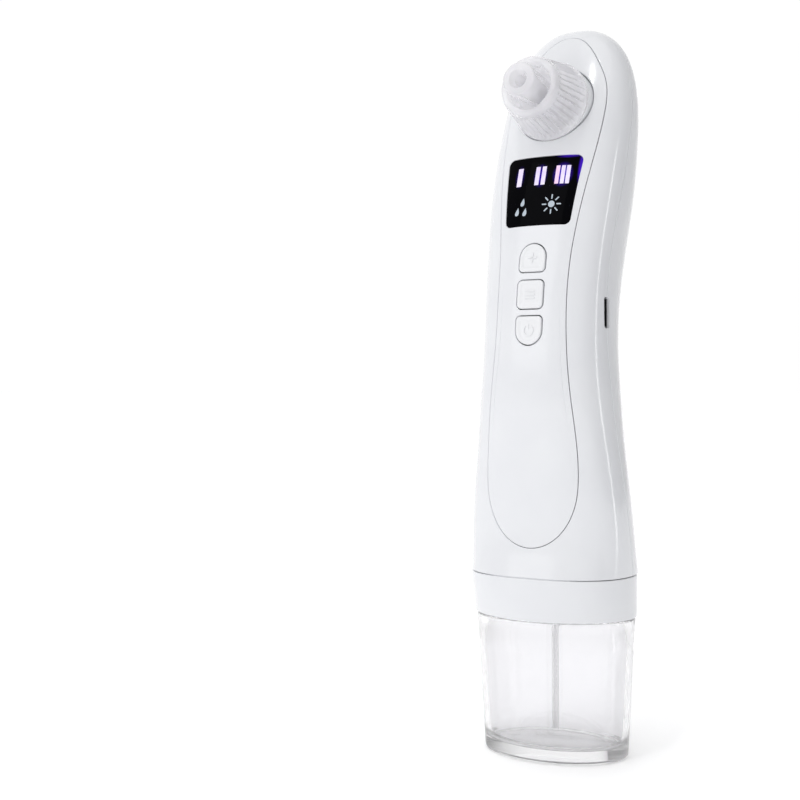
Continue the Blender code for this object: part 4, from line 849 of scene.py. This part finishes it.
# ---- display ----
def glow_material():
    """Black gloss with the lamps' blue glow round the bars and at the upper right."""
    material, tree, shader = shader_of("display_gloss")
    centre = face_frame(DISPLAY_MIDDLE).translation
    place = tree.nodes.new("ShaderNodeTexCoord")
    glows = []
    for x, z, wide, tall, power in GLOW_SPOTS:
        shift = vector_math(tree, "SUBTRACT", place.outputs["Object"], (x * MM, centre.y * MM, z * MM))
        scale = vector_math(tree, "MULTIPLY", shift["Vector"], (1.0 / (wide * MM), 0.0, 1.0 / (tall * MM)))
        length = vector_math(tree, "LENGTH", scale["Vector"])
        glows.append(ranged(tree, length["Value"], power, 0.0, (0.2, 1.0), "SMOOTHSTEP"))
    total = summed(tree, glows)
    tree.links.new(blended(tree, total, (0.0, 0.0, 0.0), (0.10, 0.02, 0.9)), shader.inputs["Emission Color"])
    dust = noise(tree, 900.0)
    black = blended(tree, dust, (0.0006, 0.0006, 0.001), (0.0014, 0.0014, 0.0024))
    tree.links.new(black, shader.inputs["Base Color"])
    tree.links.new(ranged(tree, dust, 0.04, 0.09), shader.inputs["Roughness"])
    set_inputs(shader, Emission_Strength=0.55, IOR=1.45, Specular_IOR_Level=0.03)
    return material


def display_window():
    points, faces = skin_plate(display_outline(), (), 0.0, DISPLAY_THICK, 0.15, 0.8)
    make_piece("display_glass", points, faces, glow_material(), "housing", "display_black",
               ("display_window",))


def relief(outline_uv, height, lift, sink, spacing):
    """A thin closed plate on the skin, from a flat outline at a height on the centre line."""
    loop = on_skin(face_frame(height), outline_uv)
    flat, triangles = filled_region([loop], spacing)
    skin, normals = BODY.front_point(flat), BODY.front_normal(flat)
    n, count = len(loop), len(flat)
    points = np.vstack([skin + normals * lift, skin - normals * sink])
    faces = [tuple(t) for t in triangles] + [tuple(count + t[::-1]) for t in triangles]
    faces += [(k, (k + 1) % n, count + (k + 1) % n, count + k) for k in range(n)]
    return points, faces


def joined(parts):
    """Several point and face lists as one."""
    points, faces, start = [], [], 0
    for spots, quads in parts:
        points.append(spots)
        faces += [tuple(start + k for k in quad) for quad in quads]
        start += len(spots)
    return np.vstack(points), faces


def bar(x0, y0, x1, y1, width):
    """A straight stroke with square ends, which stand half a width past the two points."""
    spacing = 0.25
    a, b = Vector((x0, y0)), Vector((x1, y1))
    ahead = (b - a).normalized() * width / 2.0
    side = Vector((-ahead.y, ahead.x))
    corners = (a + side, a - side, b - side, b + side)
    loop = np.array([tuple(c) for c in corners])
    length = 2.0 * ((b - a).length + width)
    count = max(8, 4 * round(length / spacing / 4))
    return even_loop(loop, count)


def arc_stroke(radius, width, start, end):
    """An open ring stroke between two angles in degrees."""
    angles = np.radians(np.linspace(start, end, 40))
    ring = [(np.cos(angles) * r, np.sin(angles) * r) for r in (radius + width / 2.0, radius - width / 2.0)]
    outer, inner = np.stack(ring[0], -1), np.stack(ring[1], -1)
    return even_loop(np.vstack([outer, inner[::-1]]), 110)


def disc(x, y, radius, count=40):
    angles = np.arange(count) * 2.0 * math.pi / count
    return np.stack([x + radius * np.cos(angles), y + radius * np.sin(angles)], -1)


def drop(x, y, tall, wide):
    """A water drop with its point up and leaning a little to the right."""
    t = np.arange(60) * 2.0 * math.pi / 60
    side = wide / 2.0 * np.sin(t) * np.sin(t / 2.0) ** 1.5 * 1.3
    up = tall / 2.0 * np.cos(t)
    return np.stack([x + side + 0.16 * up, y + up], -1)


def printed_piece(name, strokes, material):
    """One piece of the display's print, from (flat outline, mesh spacing) strokes."""
    parts = [relief(outline, DISPLAY_MIDDLE, PRINT_LIFT, PRINT_SINK, spacing) for outline, spacing in strokes]
    make_piece(name, *joined(parts), material, "housing", "display_black")


def display_symbols():
    """Lit level bars, and the printed drops and sun."""
    stretch = 1.0 / math.cos(BODY.front_slope(DISPLAY_MIDDLE))

    def up_face(z):
        return (z - DISPLAY_MIDDLE) * stretch

    def lit_bar(x, width):
        return bar(x, up_face(BARS_LOW), x, up_face(BARS_HIGH), width), 0.4

    lit = lamp_material("lamp_violet_white", (0.78, 0.66, 1.0), (0.90, 0.84, 1.0), 0.72)
    rosy = lamp_material("lamp_rose", (1.0, 0.58, 0.86), (0.92, 0.74, 0.98), 0.70)
    printed = lamp_material("print_pale_blue", (0.40, 0.48, 0.56), (0.50, 0.56, 0.62), 0.72)
    for name, columns in LEVEL_BARS.items():
        printed_piece(name, [lit_bar((a + b) / 2.0, b - a) for a, b in columns], lit)
    printed_piece("level_three_first", [lit_bar(ROSY_BAR_X, ROSY_BAR_WIDTH)], rosy)
    printed_piece("drop_symbols", [(drop(x, up_face(z), 2.3, 1.25), 0.3) for x, z in DROPS], printed)
    x, y = SUN_X, up_face(SUN_Z)
    disc_r, ray_start, ray_end, rays = 0.92, 1.45, 2.75, 8
    sun = [(disc(x, y, disc_r), 0.35)]
    for k in range(rays):
        turn = 2.0 * math.pi * k / rays
        c, s = math.cos(turn), math.sin(turn)
        ray = bar(x + ray_start * c, y + ray_start * s, x + ray_end * c, y + ray_end * s, SYMBOL_STROKE)
        sun.append((ray, 0.3))
    printed_piece("sun_symbol", sun, printed)


# ---- keys ----
def keys():
    """Three keys with soft edges, each with its raised symbol."""
    reach, wide = 1.35, SYMBOL_STROKE
    symbols = {
        "button_plus": (bar(0.0, -reach, 0.0, reach, wide), bar(-reach, 0.0, reach, 0.0, wide)),
        "button_mode": tuple(bar(-1.5, y, 1.5, y, wide) for y in (-1.0, 0.0, 1.0)),
        "button_power": (arc_stroke(reach, wide, 125.0, 415.0), bar(0.0, 0.3, 0.0, 1.75, wide)),
    }
    for name, strokes in symbols.items():
        body = name.replace("button", "key")
        outline = key_outline(name)

        def dished(spots, edge=outline):
            """A raised rim round a slightly sunk middle."""
            gap = np.min(np.linalg.norm(spots[:, None] - edge[None], axis=2), axis=1)
            share = np.clip((gap - KEY_RIM) / KEY_SLOPE, 0.0, 1.0)
            return -KEY_DISH * share * share * (3.0 - 2.0 * share)

        points, faces = skin_plate(outline, (), KEY_LIFT, KEY_THICK, KEY_EDGE_R, 0.3, dished)
        make_piece(body + "_cap", points, faces, MATERIALS["key_plastic"], body, "white_plastic", (name,))
        parts = [relief(stroke, KEYS[name][0], SYMBOL_LIFT, 0.0, 0.3) for stroke in strokes]
        make_piece(body + "_symbol", *joined(parts), MATERIALS["key_plastic"], body, "white_plastic")


# ---- nozzle ----
def collar():
    """The clear ribbed cone, and the four lugs in its mouth."""
    rim = COLLAR_LENGTH
    profile = rounded_profile((
        (7.0, 0.3, 0.0), (COLLAR_BASE_R, 0.3, 0.35), (COLLAR_BASE_R, 1.3, 0.3),
        (COLLAR_BASE_R - 0.35, 1.7, 0.2), (COLLAR_RIM_R + 0.55, rim - 1.8, 0.0),
        (COLLAR_RIM_R + 0.3, rim - 1.1, 0.6), (COLLAR_RIM_R, rim, 0.9), (6.5, rim, 0.45),
        (6.0, rim - 1.2, 0.3), (5.7, 8.6, 0.5), (3.1, 8.6, 0.1), (3.1, 6.6, 0.1),
        (4.9, 6.6, 0.0), (4.9, 2.4, 0.0), (7.0, 2.4, 0.0)))
    start, end, cone_steps = 1.7, rim - 1.9, 14
    fine = []
    for a, b in zip(profile, profile[1:] + profile[:1]):
        fine.append(a)
        long_cone = a[1] < b[1] and b[1] - a[1] > 4.0 and a[0] > 8.0
        if long_cone:
            fine += [(a[0] + (b[0] - a[0]) * k / cone_steps, a[1] + (b[1] - a[1]) * k / cone_steps)
                     for k in range(1, cone_steps)]

    def ribbed(radius, along, angles):
        """Straight ribs on the cone, running out at both ends."""
        if radius < 8.0 or not start <= along <= end:
            return np.full(len(angles), radius)
        fade = min(1.0, (along - start) / 0.8, (end - along) / 0.8)
        wave = 0.5 - 0.5 * np.cos(RIBS * angles)
        return radius - RIB_DEPTH * fade * wave ** 0.6

    rings = turned_rings(fine, NOZZLE_BASE, NOZZLE_AXIS, RIBS * 10, ribbed)
    ring_piece("collar_clear", rings, MATERIALS["nozzle_clear"], "collar", "clear_plastic", ("probe_collar",),
               sharp=50.0)
    place = np.array(axis_frame(NOZZLE_BASE, NOZZLE_AXIS))
    corners = ((5.25, rim - 3.4), (6.25, rim - 3.4), (6.25, rim - 1.9), (5.25, rim - 1.9))
    lugs = []
    for k in range(LUGS):
        middle = math.radians(45.0 + 360.0 / LUGS * k)
        angles = middle + np.linspace(-LUG_HALF_ANGLE, LUG_HALF_ANGLE, 9)
        local = np.array([(r * math.cos(t), r * math.sin(t), along) for t in angles for r, along in corners])
        lugs.append((local @ place[:3, :3].T + place[:3, 3], ring_faces(len(angles), len(corners), False)))
    make_piece("collar_lugs", *joined(lugs), MATERIALS["nozzle_clear"], "collar", "clear_plastic")


def tip_and_seat():
    """The suction tip, and the casing's seat and spigot that the nozzle sits on."""
    shoulder = 8.9
    tip = rounded_profile((
        (TIP_BORE_R, 6.9, 0.0), (2.8, 6.9, 0.0), (2.8, shoulder, 0.0), (TIP_R - 0.5, shoulder, 0.3),
        (TIP_R, TIP_END - 1.6, 0.0), (TIP_R, TIP_END, 0.75), (TIP_FACE_R, TIP_END, 0.3),
        (TIP_FACE_R - 0.6, TIP_END - 0.9, 0.4), (TIP_BORE_R, TIP_END - 1.5, 0.2)), steps=7)
    rings = turned_rings(tip, NOZZLE_BASE, NOZZLE_AXIS, 96)
    ring_piece("tip_clear", rings, MATERIALS["nozzle_clear"], "tip", "clear_plastic", ("probe_tip",),
               sharp=50.0)

    drum = NOZZLE_BORE_R - 0.35
    seat = rounded_profile((
        (2.2, -13.0, 0.0), (3.0, -13.0, 0.0), (3.0, -8.0, 0.0), (drum, -8.0, 0.0), (drum, -0.3, 0.3),
        (4.6, -0.3, 0.0), (4.6, 6.0, 0.3), (2.2, 6.0, 0.2)))
    rings = turned_rings(seat, NOZZLE_BASE, NOZZLE_AXIS, 96)
    ring_piece("seat_white", rings, MATERIALS["white_plastic"], "housing", "white_plastic", ("nozzle_seat",))


# ---- cup and ring ----
def oval_ring(half, z, front_power=2.0):
    """An oval; a front power above 2 fills out its front corners, as the body's section does."""
    angles = np.arange(CUP_SEGMENTS) * 2.0 * math.pi / CUP_SEGMENTS
    cos, sin = np.cos(angles), np.sin(angles)
    power = np.where(sin < 0.0, front_power, 2.0)
    x = half[0] * np.sign(cos) * np.abs(cos) ** (2.0 / power)
    y = half[1] * np.sign(sin) * np.abs(sin) ** (2.0 / power)
    return np.stack([x, y, np.full(CUP_SEGMENTS, z)], -1)


def cup():
    """The clear cup, from the middle of its underside, up outside to the neck, and down inside."""
    def half_at(z, shrink):
        return CUP_BASE_HALF + (CUP_TOP_HALF - CUP_BASE_HALF) * z / CUP_HEIGHT - shrink

    foot = [(math.sin(a) * CUP_FOOT_R, CUP_FOOT_R - math.cos(a) * CUP_FOOT_R)
            for a in np.radians(np.arange(0, 91, 15))]
    outside = [(4.4, CUP_RECESS), (3.6, CUP_RECESS), (3.0, 0.42), (2.5, 0.1), (2.2, 0.0)]
    outside += [(CUP_FOOT_R - out, z) for out, z in foot]
    outside += [(0.0, z) for z in np.linspace(2.0, CUP_HEIGHT - 0.4, 24)]
    outside += [(0.12, CUP_HEIGHT - 0.12), (0.35, CUP_HEIGHT)]
    rings = [oval_ring(half_at(CUP_RECESS, 4.4) * share, CUP_RECESS) for share in (0.06, 0.3, 0.6)]
    rings += [oval_ring(half_at(z, shrink), z) for shrink, z in outside]
    neck = CUP_TOP_HALF - NECK_INSET
    inside = neck - NECK_WALL
    edge = 0.2
    for half, z in ((neck, CUP_HEIGHT), (neck, NECK_TOP - edge), (neck - edge, NECK_TOP),
                    (inside + edge, NECK_TOP), (inside, NECK_TOP - edge)):
        rings.append(oval_ring(half, z))
    rings += [oval_ring(half_at(z, CUP_WALL + 1.0), z) for z in (CUP_HEIGHT - 2.4, CUP_HEIGHT - 3.0)]
    rings += [oval_ring(half_at(z, CUP_WALL), z) for z in np.linspace(30.0, CUP_FLOOR + CUP_FLOOR_R, 18)]
    corner_steps = 8
    for k in range(1, corner_steps + 1):
        turn = math.radians(90.0 * k / corner_steps)
        z = CUP_FLOOR + CUP_FLOOR_R - CUP_FLOOR_R * math.sin(turn)
        rings.append(oval_ring(half_at(z, CUP_WALL + CUP_FLOOR_R - CUP_FLOOR_R * math.cos(turn)), z))
    for share in (0.75, 0.5, 0.25, 0.07):
        rings.append(oval_ring(half_at(CUP_FLOOR, CUP_WALL + CUP_FLOOR_R) * share,
                               CUP_FLOOR - 0.25 * (1 - share)))
    ring_piece("cup_clear", rings, MATERIALS["clear_plastic"], "cup", "clear_plastic", ("tank_cup",),
               closed=False, sharp=50.0)


def ring_and_tube():
    """The white ring between cup and body, and the dip tube."""
    low, high = low_corner("base_ring")[2], high_corner("base_ring")[2] + RING_RISE
    half = high_corner("base_ring")[:2]
    section = rounded_profile((
        (0.0, low, 0.35), (0.0, high, 0.25), (RING_WALL, high, 0.1), (RING_WALL, low, 0.1)))
    top_band = 1.5                   # this much of its top follows the body's fuller front
    rings = [oval_ring(half - inset, z, FRONT_POWER if z > high - top_band else 2.0) for inset, z in section]
    ring_piece("ring_white", rings, MATERIALS["white_plastic"], "housing", "white_plastic", ("base_ring",))

    low, high = low_corner("dip_tube")[2], high_corner("dip_tube")[2]
    tube = rounded_profile(((0.95, low, 0.12), (0.95, high, 0.1), (0.45, high, 0.0), (0.45, low, 0.12)))
    ring_piece("tube_clear", turned_rings(tube, (0, 0, 0), (0, 0, 1), 48), MATERIALS["tube_clear"], "housing",
               "clear_plastic", ("dip_tube",), sharp=50.0)


# ---- carried-over CAD nodes ----
def dress_cad_nodes():
    """Give every CAD node the procedural finish of its material slot."""
    slots = {part["node"]: part["material_slot"] for part in frame["record"]["subparts"]}
    for name, node in frame["nodes"].items():
        # The plug socket gets the near-black steel: painted shade for the slot's dark inside.
        look = "painted_shade_steel" if name == "usb_socket" else slots[name]
        look = "black_plastic" if look == "display_black" else look
        node.data.materials.clear()
        node.data.materials.append(MATERIALS[look])


# ---- studio ----
CAMERA_AZIMUTH = math.radians(25.9)
CAMERA_DISTANCE, CAMERA_HEIGHT = 0.3885, 0.1048
CAMERA_LENS = 63.3
CAMERA_YAW, CAMERA_PITCH, CAMERA_ROLL = math.radians(6.27), math.radians(1.2), math.radians(-0.37)
FLOOR_REACH, FLOOR_Z = 6.0, -0.0001  # metres; a little low, so it isn't coplanar with the cup's foot
# Lamps: azimuth in degrees; distance, height and (width, length) in metres; watts. An even one is round.
LAMPS = {
    "key_softbox": (-25.0, 0.9, 0.55, (0.5, 0.7), 1.0),
    "strip_right": (104.0, 0.6, 0.16, (0.05, 0.5), 0.35),
    "top_softbox": (20.0, 0.25, 1.0, (0.7, 0.7), 0.6),
    "small_lamp": (-3.8, 0.375, 0.889, (0.05, 0.05), 0.5),
}
AIM = Vector((0.0, 0.0, 0.1))


def around(azimuth, distance, height):
    """A place round the object, in metres; azimuth 0 is straight ahead of the display."""
    return Vector((math.sin(azimuth) * distance, -math.cos(azimuth) * distance, height))


def add_camera(scene):
    data = bpy.data.cameras.new("camera")
    data.lens = CAMERA_LENS
    data.clip_start, data.clip_end = 0.01, 50.0
    camera = bpy.data.objects.new("camera", data)
    scene.collection.objects.link(camera)
    turn = Matrix.Rotation(CAMERA_AZIMUTH + CAMERA_YAW, 4, "Z")
    turn @= Matrix.Rotation(math.pi / 2.0 - CAMERA_PITCH, 4, "X")
    turn @= Matrix.Rotation(CAMERA_ROLL, 4, "Z")
    spot = around(CAMERA_AZIMUTH, CAMERA_DISTANCE, CAMERA_HEIGHT)
    camera.matrix_world = Matrix.Translation(spot) @ turn
    scene.camera = camera


def add_floor(scene):
    """A plain pale floor, slightly lit from within."""
    mesh = bpy.data.meshes.new("floor")
    corners = ((-1, -1), (1, -1), (1, 1), (-1, 1))
    mesh.from_pydata([(x * FLOOR_REACH, y * FLOOR_REACH, FLOOR_Z) for x, y in corners], [], [(0, 1, 2, 3)])
    floor = bpy.data.objects.new("floor", mesh)
    paint = moulded("pale_floor", (0.88, 0.88, 0.89), (0.90, 0.90, 0.905), (0.7, 0.8), grain=400.0, cloud=3.0)
    shader = paint.node_tree.nodes["Principled BSDF"]
    set_inputs(shader, Emission_Color=(1.0, 1.0, 1.0, 1.0), Emission_Strength=0.32, Specular_IOR_Level=0.1)
    mesh.materials.append(paint)
    scene.collection.objects.link(floor)


def add_world(scene):
    """White surroundings, brightest straight behind the object and dark on the right."""
    world = bpy.data.worlds.new("studio")
    scene.world = world
    world.use_nodes = True
    tree = world.node_tree
    back = tree.nodes["Background"]
    place = tree.nodes.new("ShaderNodeTexCoord")
    ahead = Vector((-math.sin(CAMERA_AZIMUTH), math.cos(CAMERA_AZIMUTH), 0.0))
    right = Vector((math.cos(CAMERA_AZIMUTH), math.sin(CAMERA_AZIMUTH), 0.0))
    terms = []
    for direction, source, low, high in ((ahead, (0.1, 0.8), 0.80, 1.02), (right, (0.15, 0.85), 0.0, -0.78),
                                         (Vector((0.0, 0.0, 1.0)), (0.3, 0.9), 0.0, 0.12)):
        dot = vector_math(tree, "DOT_PRODUCT", place.outputs["Generated"], direction)
        terms.append(ranged(tree, dot["Value"], low, high, source))
    tree.links.new(summed(tree, terms), back.inputs["Strength"])
    set_inputs(back, Color=(1.0, 1.0, 1.0, 1.0))


def add_lamps(scene):
    for name, (azimuth, distance, height, size, power) in LAMPS.items():
        light = bpy.data.lights.new(name, "AREA")
        light.shape = "ELLIPSE" if size[0] == size[1] else "RECTANGLE"
        light.size, light.size_y = size
        light.energy = power
        lamp = bpy.data.objects.new(name, light)
        lamp.location = around(math.radians(azimuth), distance, height)
        lamp.rotation_mode = "QUATERNION"
        lamp.rotation_quaternion = (lamp.location - AIM).to_track_quat("Z", "Y")
        scene.collection.objects.link(lamp)


def studio():
    scene = bpy.context.scene
    scene.view_settings.view_transform = "Standard"
    add_camera(scene)
    add_floor(scene)
    add_world(scene)
    add_lamps(scene)


def build():
    shells = [rear_shell(), front_shell()]
    cut_port(shells)
    front_panel()
    display_window()
    display_symbols()
    keys()
    collar()
    tip_and_seat()
    cup()
    ring_and_tube()
    dress_cad_nodes()
    studio()


build()
